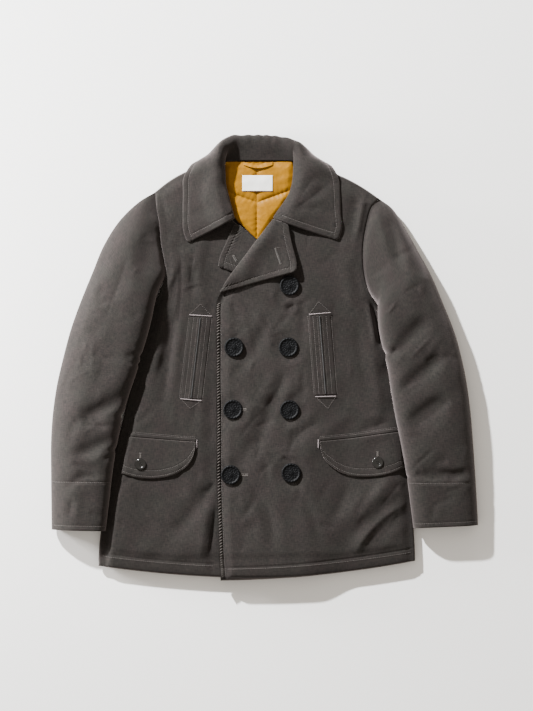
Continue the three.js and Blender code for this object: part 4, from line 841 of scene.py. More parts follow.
def centripetal(knots, t):
    """Centripetal Catmull-Rom through knots (rows, n, 3) at t (rows, samples), 0 to n - 1."""
    first, last = 2 * knots[:, :1] - knots[:, 1:2], 2 * knots[:, -1:] - knots[:, -2:-1]
    ends = np.concatenate([first, knots, last], 1)
    i = np.clip(t.astype(int), 0, knots.shape[1] - 2)
    f = (t - i)[..., None]
    row = np.arange(len(knots))[:, None]
    a, b, c, d = (ends[row, i + k] for k in range(4))
    gaps = [np.maximum(np.linalg.norm(q - p, axis=-1, keepdims=True) ** 0.5, 1e-3)
            for p, q in ((a, b), (b, c), (c, d))]
    start = ((b - a) / gaps[0] - (c - a) / (gaps[0] + gaps[1]) + (c - b) / gaps[1]) * gaps[1]
    end = ((c - b) / gaps[1] - (d - b) / (gaps[1] + gaps[2]) + (d - c) / gaps[2]) * gaps[1]
    return b + f * (start + f * (-3 * b + 3 * c - 2 * start - end + f * (2 * b - 2 * c + start + end)))


def arc_from_end(grid, axis):
    """Length along a grid line, measured back from its last point."""
    steps = np.linalg.norm(np.diff(grid, axis=axis), axis=-1)
    flipped = np.flip(np.cumsum(np.flip(steps, axis), axis), axis)
    pad = [(0, 0), (0, 0)]
    pad[axis] = (0, 1)
    return np.pad(flipped, pad)


def grid_normals(grid):
    down, across = np.gradient(grid, axis=0), np.gradient(grid, axis=1)
    normal = np.cross(down, across)
    return normal / np.maximum(np.linalg.norm(normal, axis=-1, keepdims=True), 1e-9)


def sheet_piece(name, middle, thick, relief, material, step=2, upward=True):
    """A folded double cloth: its middle surface, half its thickness each way, relief on the face."""
    normal = grid_normals(middle)
    if (normal[..., 2].mean() < 0) == upward:
        normal = -normal
    face = middle + normal * (thick / 2 + relief)[..., None]
    under = (middle - normal * (thick / 2)[..., None])[::step, ::step]
    across = arc_from_end(middle, 1)
    down = arc_from_end(middle, 0)
    uv = np.stack([across, np.broadcast_to(down[:, -1:], across.shape)], -1)
    piece = wall_piece(name, face, under, material, uv, step)
    return piece, face


def relaxed(values, passes):
    """Each pass replaces a value by a quarter, half and quarter of its line of three, every axis."""
    values = np.array(values, float)
    for _ in range(passes):
        for axis in range(values.ndim):
            v = np.moveaxis(values, axis, 0)
            v[1:-1] = (v[:-2] + 2 * v[1:-1] + v[2:]) / 4
    return values


def round_corners(middle, to_edge, to_first, to_last, radius):
    """Pulls square corners in: p' = p sqrt(1 - q^2 / 2) turns a corner's square into a quarter disc."""
    across = np.gradient(middle, axis=1)
    down = np.gradient(middle, axis=0)
    across /= np.maximum(np.linalg.norm(across, axis=-1, keepdims=True), 1e-9)
    down /= np.maximum(np.linalg.norm(down, axis=-1, keepdims=True), 1e-9)
    p = 1 - np.clip(to_edge / radius, 0, 1)
    moved = middle.copy()
    for ends, inward in ((to_first, 1), (to_last, -1)):
        q = 1 - np.clip(ends / radius, 0, 1)
        moved -= across * (radius * p * (1 - np.sqrt(1 - q * q / 2)))[..., None]
        moved += down * (inward * radius * q * (1 - np.sqrt(1 - p * p / 2)))[..., None]
    return moved


# %% Collar surface
def make_collar():
    rows, samples = 264, 100
    t = np.linspace(0, 1, rows + 1)
    t = t + 0.012 * np.sin(2 * math.pi * t) * -1  # a little closer together at the two wing ends
    knots = np.stack([[column(collar_sections[:, k, n], t) for n in range(3)] for k in range(5)], 0)
    knots = np.transpose(knots, (2, 0, 1))
    chest = 1 - smooth(3.4 / 18, 4.6 / 18, np.minimum(t, 1 - t))  # 1 where a wing lies on a front
    lying = np.where(knots[:, 4, 0] < 0, right_top(knots[:, 4, 0], knots[:, 4, 1]),
                     left_top(knots[:, 4, 0], knots[:, 4, 1])) + COLLAR_THICK / 2 + 0.2
    knots[:, 4, 2] = lerp(knots[:, 4, 2], lying, chest)
    knots[:, 3, 2] = lerp(knots[:, 3, 2], (knots[:, 2, 2] * 1.2 + lying) / 2.2, chest * 0.9)
    behind = smooth(0.28, 0.4, np.minimum(t, 1 - t))
    knots[:, 2, 2] += np.where(t < 0.5, 5.0, 0.5) * (1 - behind) + 9 * behind
    knots[:, 1, 2] += 8 * behind
    knots[:, 1:3, 2] += (8 * np.exp(-((t - 6 / 18) * 18 / 1.3) ** 2))[:, None]
    run = np.linspace(0, 1, samples + 1)
    place = np.broadcast_to((4 * (run + 0.035 * np.sin(2 * math.pi * run)))[None], (rows + 1, samples + 1))
    middle = centripetal(knots, np.clip(place, 0, 3.99999))
    wing = smooth(2.0, 2.6, place) * chest[:, None]
    plan_x, plan_y = middle[..., 0], middle[..., 1]
    carried = np.where(plan_x < 0, right_top(plan_x, plan_y), left_top(plan_x, plan_y)) + COLLAR_THICK / 2 + 0.4
    middle[..., 2] = np.maximum(middle[..., 2], np.where(wing > 0.5, carried, COLLAR_THICK / 2 + 0.1))
    to_edge = arc_from_end(middle, 1)
    to_last = arc_from_end(middle, 0)
    to_first = np.flip(arc_from_end(np.flip(middle, 0), 0), 0)
    ends = np.minimum(to_last, to_first)
    thick = COLLAR_THICK * rim(np.minimum(to_edge, ends), 2.6, 0.12)
    middle = round_corners(middle, to_edge, to_first, to_last, 7.0)
    along = to_last
    sewn = sewn_line(to_edge - COLLAR_STITCH, along, 0.8, 6.2, 0.45, 6.0)
    sewn = sewn + sewn_line(ends - COLLAR_STITCH, to_edge, 0.8, 6.2, 0.45, 6.0) * smooth(8, 16, to_edge)
    waves = soft_waves(plan_x, plan_y, 31, 28, 80, 0.6) + fold_relief(collar_crisp, plan_x, plan_y, 8, True)
    behind = smooth(0.3, 0.4, np.minimum(t, 1 - t))[:, None] * (1 - smooth(1.9, 2.4, place))
    ripple = 0.7 * np.sin(plan_x / 3.1 + 1.5 * np.sin(plan_x / 17.0)) * behind * smooth(0.5, 1.2, place)
    relief = sewn * smooth(0.9, 1.6, place) + waves * smooth(2, 16, np.minimum(to_edge, ends)) + ripple
    relief = relief * smooth(0.2, 0.6, place)
    piece, face = sheet_piece("collar_cloth", middle, thick, relief, shell_cloth)
    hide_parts("collar")
    print("collar", middle.shape, "fall depth", round(float(to_edge[132, 60]), 1))
    return piece, face, to_edge, ends, place


collar, collar_face, collar_edge, collar_ends, collar_place = make_collar()

# %% [markdown]
# ## Lapels
# A lapel is the turned-back top of a front. It rolls over at the roll line, so it tucks back onto the
# front's edge there, and its free corner lifts off the chest and throws a shadow.

# %% Lapels
LAPEL = "roll_x roll_y edge_x edge_y lift"
left_lapel = table(LAPEL, [
    (-81, 117, 57, 154.5, 10.5), (-67, 140, 57.5, 171, 7.0), (-44, 171, 52.5, 192, 5.6),
    (-16, 207, 47, 214, 5.2), (15, 249.5, 42.5, 240, 5.0)])
right_lapel = table(LAPEL, [
    (53, 115, -84, 165, 0.2), (38, 140, -80, 183, 0.2), (18, 168, -71, 204, 0.4),
    (-8, 202, -62, 224, 0.6), (-44, 239, -55, 239, 1)])


def make_lapel(name, rows, top, rise, node, corner):
    sections, samples = 120, 120
    v = np.linspace(0, 1, sections + 1)
    roll = np.stack([column(rows["roll_x"], v), column(rows["roll_y"], v)], -1)
    edge = np.stack([column(rows["edge_x"], v), column(rows["edge_y"], v)], -1)
    width = np.linalg.norm(edge - roll, axis=-1)
    reach = np.minimum(1, width / 60)
    lift = column(rows["lift"], v)

    def at(distance, height):
        q = roll + (edge - roll) * (distance / width)[:, None]
        return np.concatenate([q, height[:, None]], -1), q

    half = LAPEL_THICK / 2
    tuck = at(12 * reach, lift * 0)[1]
    base = relaxed(top(tuck[:, 0], tuck[:, 1]), 60)

    def rest(distance):
        q = at(distance, lift)[1]
        below = relaxed(top(q[:, 0], q[:, 1]), 40)
        return np.maximum(below, base - 2 - 20 * smooth(14, 80, distance)) + half + 0.7

    tuck_z = base + half + 0.7
    crest_z = np.maximum(rest(12 * reach) + 1, tuck_z + rise * reach)
    edge_z = rest(width) + lift
    if rise:
        stops = [(12 * reach, tuck_z), (half + 0 * reach, (tuck_z + crest_z) / 2), (12 * reach, crest_z)]
    else:
        stops = [(half + 0 * reach, tuck_z)]
    start, start_z = stops[-1]
    for share in (0.5, 1.0):
        distance = lerp(start, width, share)
        stops.append((distance, np.maximum(lerp(start_z, edge_z, share), rest(distance))))
    knots = np.stack([at(distance, height)[0] for distance, height in stops], 1)
    n = knots.shape[1] - 1
    t = np.broadcast_to(np.linspace(0, n, samples + 1)[None], (sections + 1, samples + 1))
    middle = centripetal(knots, np.clip(t, 0, n - 1e-5))
    clear = relaxed(top(middle[..., 0], middle[..., 1]), 60) + half + 0.9
    middle[..., 2] = np.where(t > n - 1.9, np.maximum(middle[..., 2], clear), middle[..., 2])
    to_edge = arc_from_end(middle, 1)
    to_last = arc_from_end(middle, 0)
    to_first = np.flip(arc_from_end(np.flip(middle, 0), 0), 0)
    ends = np.minimum(to_last, to_first)
    thick = LAPEL_THICK * rim(np.minimum(to_edge, ends), 2.8, 0.12)
    middle = round_corners(middle, to_edge, to_first, to_last, 7.0 if rise else 3.0)
    sewn = sewn_line(to_edge - COLLAR_STITCH, to_last, 0.8, 6.2, 0.45, 6.0)
    sewn = sewn + sewn_line(to_first - COLLAR_STITCH, to_edge, 0.8, 6.2, 0.45, 6.0) * smooth(8, 16, to_edge)
    waves = soft_waves(middle[..., 0], middle[..., 1], corner, 30, 80, 0.6)
    relief = sewn + waves * smooth(2, 16, np.minimum(to_edge, ends))
    piece, face = sheet_piece(name, middle, thick, relief, shell_cloth)
    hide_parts(node)
    print(name, middle.shape, "top", round(float(face[..., 2].max()), 1))
    return face, to_edge, to_first, to_last


lapel_left = make_lapel("left_lapel_cloth", left_lapel, left_top, 5.5, "lapel_left", 41)
lapel_right = make_lapel("right_lapel_cloth", right_lapel, right_top, 0, "lapel_right", 42)

# %% [markdown]
# ## Quilted lining, hanger loop and label
# Inside the neck the lining is nylon over wadding, sewn in chevrons about 67 mm apart that meet at a
# centre seam. Thin nylon puckers hard beside the stitches, so fine ripples run into each seam.

# %% Lining at the neck
CENTRE_X, QUILT_PITCH, QUILT_POINT_Y, QUILT_SLOPE = -14, 67, 280, 0.36


def lining_top(x, y, p=None, centre=True):
    p = locate(lining, x, y) if p is None else p
    across = np.abs(x - CENTRE_X)
    band = (y - QUILT_POINT_Y - QUILT_SLOPE * across) / QUILT_PITCH
    to_chevron = (band - np.round(band)) * QUILT_PITCH
    puff = 1 - np.exp(-np.abs(to_chevron) / 5.5)
    if centre:
        puff = puff * (1 - np.exp(-np.abs(x - CENTRE_X) / 4.5))
    ripple = 0.3 * np.sin(2 * math.pi * (across + 0.3 * y) / 9.5 + 1.8 * np.sin(y / 9.0) + np.sin(across / 7))
    ripple = ripple * np.exp(-np.abs(to_chevron) / 9)
    side_ripple = 0.28 * np.sin(2 * math.pi * (y + 0.4 * across) / 11.5 + 2 * np.sin(y / 13.0))
    side_ripple = side_ripple * np.exp(-across / 8) if centre else 0
    border = smooth(0, 12, np.minimum(np.minimum(p["side"], p["edge"]), 353.5 - y))
    crumple = soft_waves(x, y, 51, 14, 40, 0.3) * puff
    return BACK_THICK + LAYER_GAP + 1.6 + 4.2 * puff * lerp(0.3, 1, border) + (ripple + side_ripple) * 0.8 + crumple


def make_lining():
    p = panel_grid(lining, 122, 142)
    low = np.full(p["x"].shape, BACK_THICK + LAYER_GAP)
    nearest = np.minimum(p["side"], p["edge"])
    high = low + np.maximum(lining_top(p["x"], p["y"], p) - low, 0.8) * rim(nearest, 4)
    uv = np.stack([p["x"], p["y"]], -1)
    piece = wall_piece("neck_lining", xyz(p["x"], p["y"], high), xyz(p["x"], p["y"], low)[::4, ::4], nylon, uv)
    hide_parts("lining_back")
    return piece


strip_faces = {}


def strip_piece(name, plan, under, thick, material, rows, cols, node, soft=1.2, relief=None, step=2):
    """A flat piece that lies on another: plan(s, t) gives x and y, under(x, y, s, t) its lower face."""
    mid_x, mid_y = plan(np.array([0.5, 0.5, 0.0, 1.0]), np.array([0.0, 1.0, 0.5, 0.5]))
    tall = math.hypot(mid_x[1] - mid_x[0], mid_y[1] - mid_y[0])
    wide = math.hypot(mid_x[3] - mid_x[2], mid_y[3] - mid_y[2])
    even_t, even_s = np.linspace(0, 1, rows + 1), np.linspace(0, 1, cols + 1)
    t, s = np.meshgrid(lerp(0.5 - 0.5 * np.cos(math.pi * even_t), even_t, 0.6),
                       lerp(0.5 - 0.5 * np.cos(math.pi * even_s), even_s, 0.6), indexing="ij")
    x, y = plan(s, t)
    low = under(x, y, s, t)
    nearest = np.minimum(np.minimum(s, 1 - s) * wide, np.minimum(t, 1 - t) * tall)
    high = low + thick * rim(nearest, soft, 0.15)
    if relief is not None:
        high = high + relief(x, y, s, t)
    piece = wall_piece(name, xyz(x, y, high), xyz(x, y, low)[::step, ::step], material, np.stack([x, y], -1), step)
    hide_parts(node)
    strip_faces[name] = xyz(x, y, high)
    return strip_faces[name]


neck_lining = make_lining()
LABEL_X, LABEL_Y, LABEL_W, LABEL_H = -12.8, 314.3, 54.7, 28.4
label_face = strip_piece(
    "neck_label", lambda s, t: (LABEL_X + (s - 0.5) * LABEL_W, LABEL_Y + (0.5 - t) * LABEL_H),
    lambda x, y, s, t: lining_top(x, y, None, False) + 0.5, 0.9, label_satin, 32, 60, "label", 0.6)
hanger_face = strip_piece(
    "hanger_loop_tape", lambda s, t: (lerp(-38, 15, s), 350 - 6 * np.sin(math.pi * s) + (0.5 - t) * 6),
    lambda x, y, s, t: lining_top(x, y, None, False) + 0.8 + 1.5 * np.sin(math.pi * s), 1.4, nylon,
    12, 60, "hanger_loop", 0.7)

# %% [markdown]
# ## Pockets
# A hand pocket is a slanted slit between two folded lips. A flap pocket has a folded strip with the
# flap hanging from it. They lie on the fronts, so each takes its height from the front beneath it.

# %% Pocket lips, flaps and strips
WELT_WIDTH, WELT_THICK, SLIT = 18.5, 0.8, 1.6
welts = {"right": (-115.2, 73.5, -132.5, -74.5, right_top), "left": (98.6, 76.5, 110, -67, left_top)}
for side, (top_x, top_y, foot_x, foot_y, top) in welts.items():
    for way in (-1, 1):
        outer_lip = (way < 0) == (side == "right")
        name = f"welt_{side}_{'outer' if outer_lip else 'inner'}"

        def lip_plan(s, t, way=way, top_x=top_x, top_y=top_y, foot_x=foot_x, foot_y=foot_y):
            off = way * (SLIT / 2 + s * WELT_WIDTH)
            return lerp(top_x, foot_x, t) + off, lerp(top_y, foot_y, t) + off * 0.02

        def lip_relief(x, y, s, t):
            d = s * WELT_WIDTH
            return sewn_line(d - 3.7, y, 0.25, 6, 0.12, 3) + sewn_line(d - 11, y, 0.2, 6, 0.12, 3)

        strip_piece(f"{name}_cloth", lip_plan, lambda x, y, s, t, top=top: top(x, y) + 0.1 + 0.8 * (1 - s) ** 3,
                    WELT_THICK, shell_cloth, 120, 20, name, 1.2, lip_relief)

FLAP = "top_x top_y foot_x foot_y"
flap_tables = {
    "right": table(FLAP, [(-245, -142, -258, -208.5), (-227, -143.8, -229, -216), (-196, -146.3, -196, -217.5),
                          (-166, -148.8, -166, -211.5), (-144, -150.4, -144, -199.5),
                          (-130, -151.3, -131.5, -184), (-123.8, -151.8, -125, -165)]),
    "left": table(FLAP, [(98.6, -150.7, 100.5, -163), (104, -150.2, 106, -180), (117, -149, 118, -193.5),
                         (138, -147, 138, -206.5), (163, -144.3, 164, -213.7), (197, -139.5, 199, -213.5),
                         (222, -136.2, 227, -208), (243, -133.4, 250, -199)])}
FLAP_THICK, FLAP_LIFT, JET_WIDTH, JET_THICK = 2.8, 1.3, 6.0, 1.6
flap_faces = {}
for side, rows in flap_tables.items():
    top = right_top if side == "right" else left_top

    def flap_plan(s, t, rows=rows):
        return (lerp(column(rows["top_x"], s), column(rows["foot_x"], s), t),
                lerp(column(rows["top_y"], s), column(rows["foot_y"], s), t))

    def flap_under(x, y, s, t, top=top, side=side):
        inward = 1 - s if side == "left" else s
        return top(x, y) + 0.7 + FLAP_LIFT * smooth(0, 1, t) * lerp(0.3, 1, inward)

    def flap_relief(x, y, s, t, rows=rows):
        height = column(rows["top_y"], s) - column(rows["foot_y"], s)
        to_foot = (1 - t) * height
        return 0.7 * sewn_line(to_foot - 4, x, 0.6, 5.5, 0.25, 3) + 0.7 * sewn_line(to_foot - 14, x, 0.7, 6, 0.3, 4)

    flap_faces[side] = strip_piece(f"flap_{side}_cloth", flap_plan, flap_under, FLAP_THICK, shell_cloth,
                                   80, 132, f"flap_{side}", 1.8, flap_relief)
    strip_piece(f"jet_{side}_cloth",
                lambda s, t, rows=rows: (column(rows["top_x"], s), column(rows["top_y"], s) + 0.7 + (1 - t) * JET_WIDTH),
                lambda x, y, s, t, top=top: top(x, y) + 0.5, JET_THICK, shell_cloth,
                10, 100, f"jet_{side}", 1.3)
print("pockets:", len(welts), "hand,", len(flap_tables), "flap")


# %% [markdown]
# ## Buttons
# The large buttons are moulded: a knurled rim round a field of worn bumps, and four holes with the
# sewing thread crossed over them. Each is a solid of rings, and the relief is added to its top.

# %% Button solids
def button_solid(radius, height, profile, relief, turns=108):
    """Rings (radius, height) from the under centre out and up to the top centre, plus a relief."""
    profile = np.array(profile, float)
    angle = 2 * math.pi * np.arange(turns) / turns
    r = profile[:, 0][:, None] * radius
    x, y = r * np.cos(angle), r * np.sin(angle)
    z = np.broadcast_to(profile[:, 1][:, None] * height, x.shape) + profile[:, 2][:, None] * relief(x, y, r, angle)
    points = np.concatenate([xyz(x, y, z).reshape(-1, 3), [[0, 0, z[0].mean()], [0, 0, z[-1].mean()]]])
    quads = grid_quads(len(profile), turns, 0, True)
    ring, count = np.arange(turns), len(profile) * turns
    nxt = (ring + 1) % turns
    low = np.stack([nxt, ring, np.full(turns, count)], -1)
    last = (len(profile) - 1) * turns
    high = np.stack([last + ring, last + nxt, np.full(turns, count + 1)], -1)
    return points, quads, np.concatenate([low, high])


def stroke(x, y, ax, ay, bx, by, half, soft=0.35):
    """1 on a straight bar, 0 away from it."""
    return 1 - smooth(half, half + soft, line_distance(x, y, ax, ay, bx, by)[0])


def knurled_relief(x, y, r, angle):
    """Knurls on the rim, two rings of bumps, four holes and crossed thread, in millimetres."""
    rim_knurls = 0.35 * np.sin(18 * angle + 0.9 * r) * np.exp(-((r - 15.0) / 1.7) ** 2)
    inside = smooth(5.0, 6.2, r) * (1 - smooth(12.2, 13.2, r))
    bumps = 0.4 * np.sin(12 * angle + 1.5 * np.sin(2 * angle)) * np.sin(0.95 * (r - 5.6)) * inside
    holes = np.maximum.reduce([1 - smooth(0.8, 1.3, np.hypot(x - sx * 2.4, y - sy * 2.4))
                               for sx in (-1, 1) for sy in (-1, 1)])
    thread = np.maximum(stroke(x, y, -2.4, -2.4, 2.4, 2.4, 0.5), stroke(x, y, -2.4, 2.4, 2.4, -2.4, 0.5))
    boss = 0.5 * (1 - smooth(4.2, 5.2, r))
    return rim_knurls + bumps + boss - 1.5 * holes * (1 - thread) + 0.45 * thread


def plain_relief(x, y, r, angle):
    """Four sewing holes in the dish."""
    return -0.9 * np.maximum.reduce([1 - smooth(0.6, 0.95, np.hypot(x - sx * 1.5, y - sy * 1.5))
                                     for sx in (-1, 1) for sy in (-1, 1)])


BIG_PROFILE = [(0.3, 0.0, 0), (0.62, 0.0, 0), (0.9, 0.16, 0), (0.985, 0.36, 0), (1.0, 0.55, 0), (0.985, 0.76, 0.3),
               (0.95, 0.9, 1), (0.91, 0.98, 1), (0.87, 1.0, 1), (0.83, 0.97, 1), (0.79, 0.88, 1), (0.76, 0.76, 1),
               (0.73, 0.7, 1)] + [(s, 0.68, 1) for s in np.linspace(0.7, 0.02, 27)]
FLAP_PROFILE = [(0.3, 0.0, 0), (0.7, 0.0, 0), (0.93, 0.2, 0), (1.0, 0.5, 0), (0.98, 0.78, 0), (0.92, 0.95, 0),
                (0.84, 1.0, 0), (0.76, 0.97, 0), (0.68, 0.88, 0), (0.6, 0.75, 0), (0.52, 0.62, 0)] + \
    [(s, 0.5 + 0.25 * s, 1) for s in np.linspace(0.45, 0.02, 16)]


def set_button(name, x, y, base, radius, height, profile, relief, material, turn):
    """Turned a little about its own axis, as sewn-on buttons are, and set on the cloth."""
    points, quads, tris = button_solid(radius, height, profile, relief)
    c, s = math.cos(turn), math.sin(turn)
    points = points @ np.array([[c, s, 0], [-s, c, 0], [0, 0, 1]]) + np.array([x, y, base])
    piece = mesh_piece(name + "_moulded", points, quads, tris, material)
    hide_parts(name)
    return piece


BUTTON_TURNS = (0.2, -0.35, 0.1, -0.15, 0.3, -0.1, 0.25)
for turn, (name, (x, y)) in zip(BUTTON_TURNS, BIG_BUTTONS.items()):
    base = float(left_top(np.array([x]), np.array([y]))[0]) + 0.1
    set_button(name, x, y, base, 17.5, 4.8, BIG_PROFILE, knurled_relief, black_resin, turn)
for side, (name, (x, y)) in zip(("right", "left"), FLAP_BUTTONS.items()):
    near = np.hypot(flap_faces[side][..., 0] - x, flap_faces[side][..., 1] - y) < 9
    base = float(flap_faces[side][..., 2][near].mean()) - 0.2
    set_button(name, x, y, base, 10, 3.4, FLAP_PROFILE, plain_relief, polished_horn, 0.4)
print("buttons:", len(BIG_BUTTONS) + len(FLAP_BUTTONS))


# %% [markdown]
# ## Stitches
# Every row of topstitching is real thread: small bent pieces, each dipping into the cloth at both
# ends. A row is a path across a piece. All rows of one piece make one mesh.

# %% Stitch maker
def along_path(path, pitch):
    """Middles and directions of stitches spaced evenly along a path of points."""
    steps = np.linalg.norm(np.diff(path, axis=0), axis=1)
    run = np.concatenate([[0], np.cumsum(steps)])
    count = max(1, int(run[-1] / pitch))
    s = (np.arange(count) + 0.5) * run[-1] / count
    at = lambda d: np.stack([np.interp(np.clip(d, 0, run[-1]), run, path[:, n]) for n in range(3)], -1)
    ahead, behind = at(s + pitch * 0.35), at(s - pitch * 0.35)
    way = ahead - behind
    return (ahead + behind) / 2, way / np.maximum(np.linalg.norm(way, axis=1, keepdims=True), 1e-6)


def stitch_piece(name, runs, material, length=2.7, thick=0.42, raise_by=0.22, node_pitch=3.4):
    """Joins all stitches of the given paths into one mesh of small bent, tapered bars."""
    middles, ways = zip(*[along_path(np.asarray(run, float), node_pitch) for run in runs])
    middle, way = np.concatenate(middles), np.concatenate(ways)
    side = np.cross(np.array([0, 0, 1.0]), way)
    side /= np.maximum(np.linalg.norm(side, axis=1, keepdims=True), 1e-6)
    up = np.cross(way, side)
    s = np.array([-0.5, -0.34, 0, 0.34, 0.5])
    fat = np.array([0.35, 0.85, 1.0, 0.85, 0.35]) * thick
    arch = np.array([-0.8, 0.3, 1.0, 0.3, -0.8]) * raise_by
    ring = np.array([[1, 0], [0, 1], [-1, 0], [0, -1]], float)
    centre = middle[:, None] + way[:, None] * (s * length)[None, :, None] + up[:, None] * arch[None, :, None]
    offset = (side[:, None, None] * ring[None, None, :, 0, None] * 1.15 + up[:, None, None] * ring[None, None, :, 1, None])
    points = centre[:, :, None] + offset * fat[None, :, None, None]
    one = grid_quads(5, 4, 0, True)
    caps = np.array([[0, 3, 2, 1], [16, 17, 18, 19]])
    cells = np.concatenate([one, caps])
    count = len(middle)
    quads = (cells[None] + 20 * np.arange(count)[:, None, None]).reshape(-1, 4)
    piece = mesh_piece(name, points.reshape(-1, 3), quads, np.zeros((0, 3), int), material)
    print(name, count, "stitches")
    return piece


def on_surface(xs, ys, top, lift=0.1):
    xs, ys = np.asarray(xs, float), np.asarray(ys, float)
    return np.stack([xs, ys, top(xs, ys) + lift], -1)


def level_line(face, values, level, rows):
    """Points on a face where values, falling along each row, pass a level."""
    points = []
    for i in rows:
        v = values[i]
        j = int(np.argmax(v < level))
        if j == 0:
            continue
        f = (v[j - 1] - level) / (v[j - 1] - v[j])
        points.append(lerp(face[i, j - 1], face[i, j], f))
    return np.array(points)


# %% Rows on the fronts
def panel_line(panel, top, distance_name, distance, v0, v1, count=240):
    """A line at a fixed distance from a border, from v0 to v1 or u0 to u1."""
    s = np.linspace(v0, v1, count)
    if distance_name == "edge":
        width = panel_point(panel, np.zeros_like(s), s)[2]
        x, y, _ = panel_point(panel, 1 - distance / width, s)
    else:
        length = abs(panel["side_y"][0] - panel["side_y"][-1])
        x, y, _ = panel_point(panel, s, np.full_like(s, 1 - distance / length))
    return on_surface(x, y, top)


front_rows = [
    panel_line(left_front, left_top, "edge", EDGE_STITCH, 0.42, 1 - 0.012),
    panel_line(left_front, left_top, "foot", HEM_BAND, 0.02, 0.96),
    panel_line(right_front, right_top, "foot", HEM_BAND, 0.02, 0.58)]
stitch_piece("front_topstitching", front_rows, topstitch)

# The front edge is roped: between its stitches the cloth stands up in short slanting ridges. They take the paler
# buttonhole thread colour as a painted highlight on their lit tops.
level = np.linspace(0.42, 0.985, 98)
level_width = panel_point(left_front, np.zeros_like(level), level)[2]
near_x, near_y, _ = panel_point(left_front, 1 - 1.6 / level_width, level)
far_x, far_y, _ = panel_point(left_front, 1 - 8.2 / level_width, level)
ridge_x, ridge_y = np.stack([near_x, far_x], 1), np.stack([near_y - 2.2, far_y + 2.2], 1)
ridges = list(np.stack([ridge_x, ridge_y, left_top(ridge_x, ridge_y) + 0.1], -1))
stitch_piece("front_edge_ridges_painted_highlight", ridges, thread_and_ridge_highlight, 7.6, 0.7, 0.5, 8.6)

# %% Rows on the collar and lapels
wing_rows = [range(4, 92), range(172, 261)]
collar_runs = [level_line(collar_face, collar_edge, COLLAR_STITCH, rows) for rows in wing_rows]
for rows in (slice(0, 132), slice(132, None)):
    face, ends, edge = collar_face[rows], collar_ends[rows], collar_edge[rows]
    run = []
    for j in range(45, 101):
        column_ends = ends[:, j]
        inside = np.nonzero(column_ends < COLLAR_STITCH)[0]
        i = inside[-1] if rows.start == 0 else inside[0]
        if edge[i, j] > COLLAR_STITCH:
            run.append(face[i, j])
    collar_runs.append(np.array(run))
stitch_piece("collar_topstitching", collar_runs, topstitch)

lapel_runs = []
for face, to_edge, to_first, to_last in (lapel_left, lapel_right):
    lapel_runs.append(level_line(face, to_edge, COLLAR_STITCH, range(10, 112)))
    rows = [int(np.argmax(to_first[:, j] > COLLAR_STITCH)) for j in range(70, 112)]
    lapel_runs.append(np.array([face[i, j] for i, j in zip(rows, range(70, 112)) if to_edge[i, j] > COLLAR_STITCH]))
stitch_piece("lapel_topstitching", lapel_runs, topstitch)


# %% Rows on the sleeves
def sleeve_line(rows, panel, top, up, c0, c1):
    c = np.linspace(c0, c1, 120)
    x, y, _, upper, _ = sleeve_faces(rows, panel, top, c, np.full_like(c, 1 - up / SLEEVE_LENGTH))
    return xyz(x, y, upper + 0.1)


cuff_runs = [sleeve_line(rows, panel, top, up, 0.02, 0.98)
             for rows, panel, top in ((right_sleeve, right_front, right_top), (left_sleeve, left_front, left_top))
             for up in (CUFF_BAND, 7.5)]
stitch_piece("cuff_topstitching", cuff_runs, topstitch)

# %% Rows on the pockets
pocket_runs, bars = [], []
for side, (top_x, top_y, foot_x, foot_y, top) in welts.items():
    t = np.linspace(0.01, 0.99, 120)
    for way in (-1, 1):
        for off, height in ((3.7, WELT_THICK), (11.0, WELT_THICK), (WELT_WIDTH + SLIT, 0.0)):
            shift = way * (SLIT / 2 + off)
            pocket_runs.append(on_surface(lerp(top_x, foot_x, t) + shift, lerp(top_y, foot_y, t), top, height + 0.1))
triangles = {"right": [((-135.4, 77), (-115.2, 96.1), (-95, 74.7)), ((-151, -74), (-133.9, -91.8), (-113.8, -77.4))],
             "left": [((79.9, 77.6), (97.2, 100.4), (118.6, 81)), ((91.4, -70.2), (114.1, -91.8), (128.5, -69.3))]}
for side, corners in triangles.items():
    top = welts[side][4]
    for base, apex, end in corners:
        for a, b in ((base, apex), (apex, end)):
            s = np.linspace(0, 1, 24)
            pocket_runs.append(on_surface(lerp(a[0], b[0], s), lerp(a[1], b[1], s), top, 0.15))
        s = np.linspace(0, 1, 24)
        bars.append(on_surface(lerp(base[0], end[0], s), lerp(base[1], end[1], s), top, 1.6))
for side, rows in flap_tables.items():
    face = flap_faces[side]
    s = np.linspace(0, 1, face.shape[1])
    for inset in (4, 14):
        keep = np.linspace(0.01, 0.985, 200)
        height = column(rows["top_y"], keep) - column(rows["foot_y"], keep)
        t = 1 - inset / height
        keep, t = keep[t > 0.04], t[t > 0.04]
        x = lerp(column(rows["top_x"], keep), column(rows["foot_x"], keep), t)
        y = lerp(column(rows["top_y"], keep), column(rows["foot_y"], keep), t)
        plan_x, plan_y, plan_z = face[..., 0].ravel(), face[..., 1].ravel(), face[..., 2].ravel()
        near = np.argmin((plan_x[None] - x[:, None]) ** 2 + (plan_y[None] - y[:, None]) ** 2, axis=1)
        pocket_runs.append(np.stack([x, y, plan_z[near] + 0.12], -1))
    k = np.linspace(0.01, 0.99, 120)
    top = welts[side][4]
    pocket_runs.append(on_surface(column(rows["top_x"], k), column(rows["top_y"], k) + 8.4, top, 0.15))
stitch_piece("pocket_topstitching", pocket_runs, topstitch, 2.6, 0.4)
for x, y0, y1, top in ((-121.9, -148, -163, right_top), (96.4, -147, -162, left_top)):
    s = np.linspace(0, 1, 12)
    bars.append(on_surface(np.full(12, x), lerp(y0, y1, s), top, 1.0))
stitch_piece("bartacks", bars, bartack_thread, 1.9, 0.5, 0.2, 1.4)


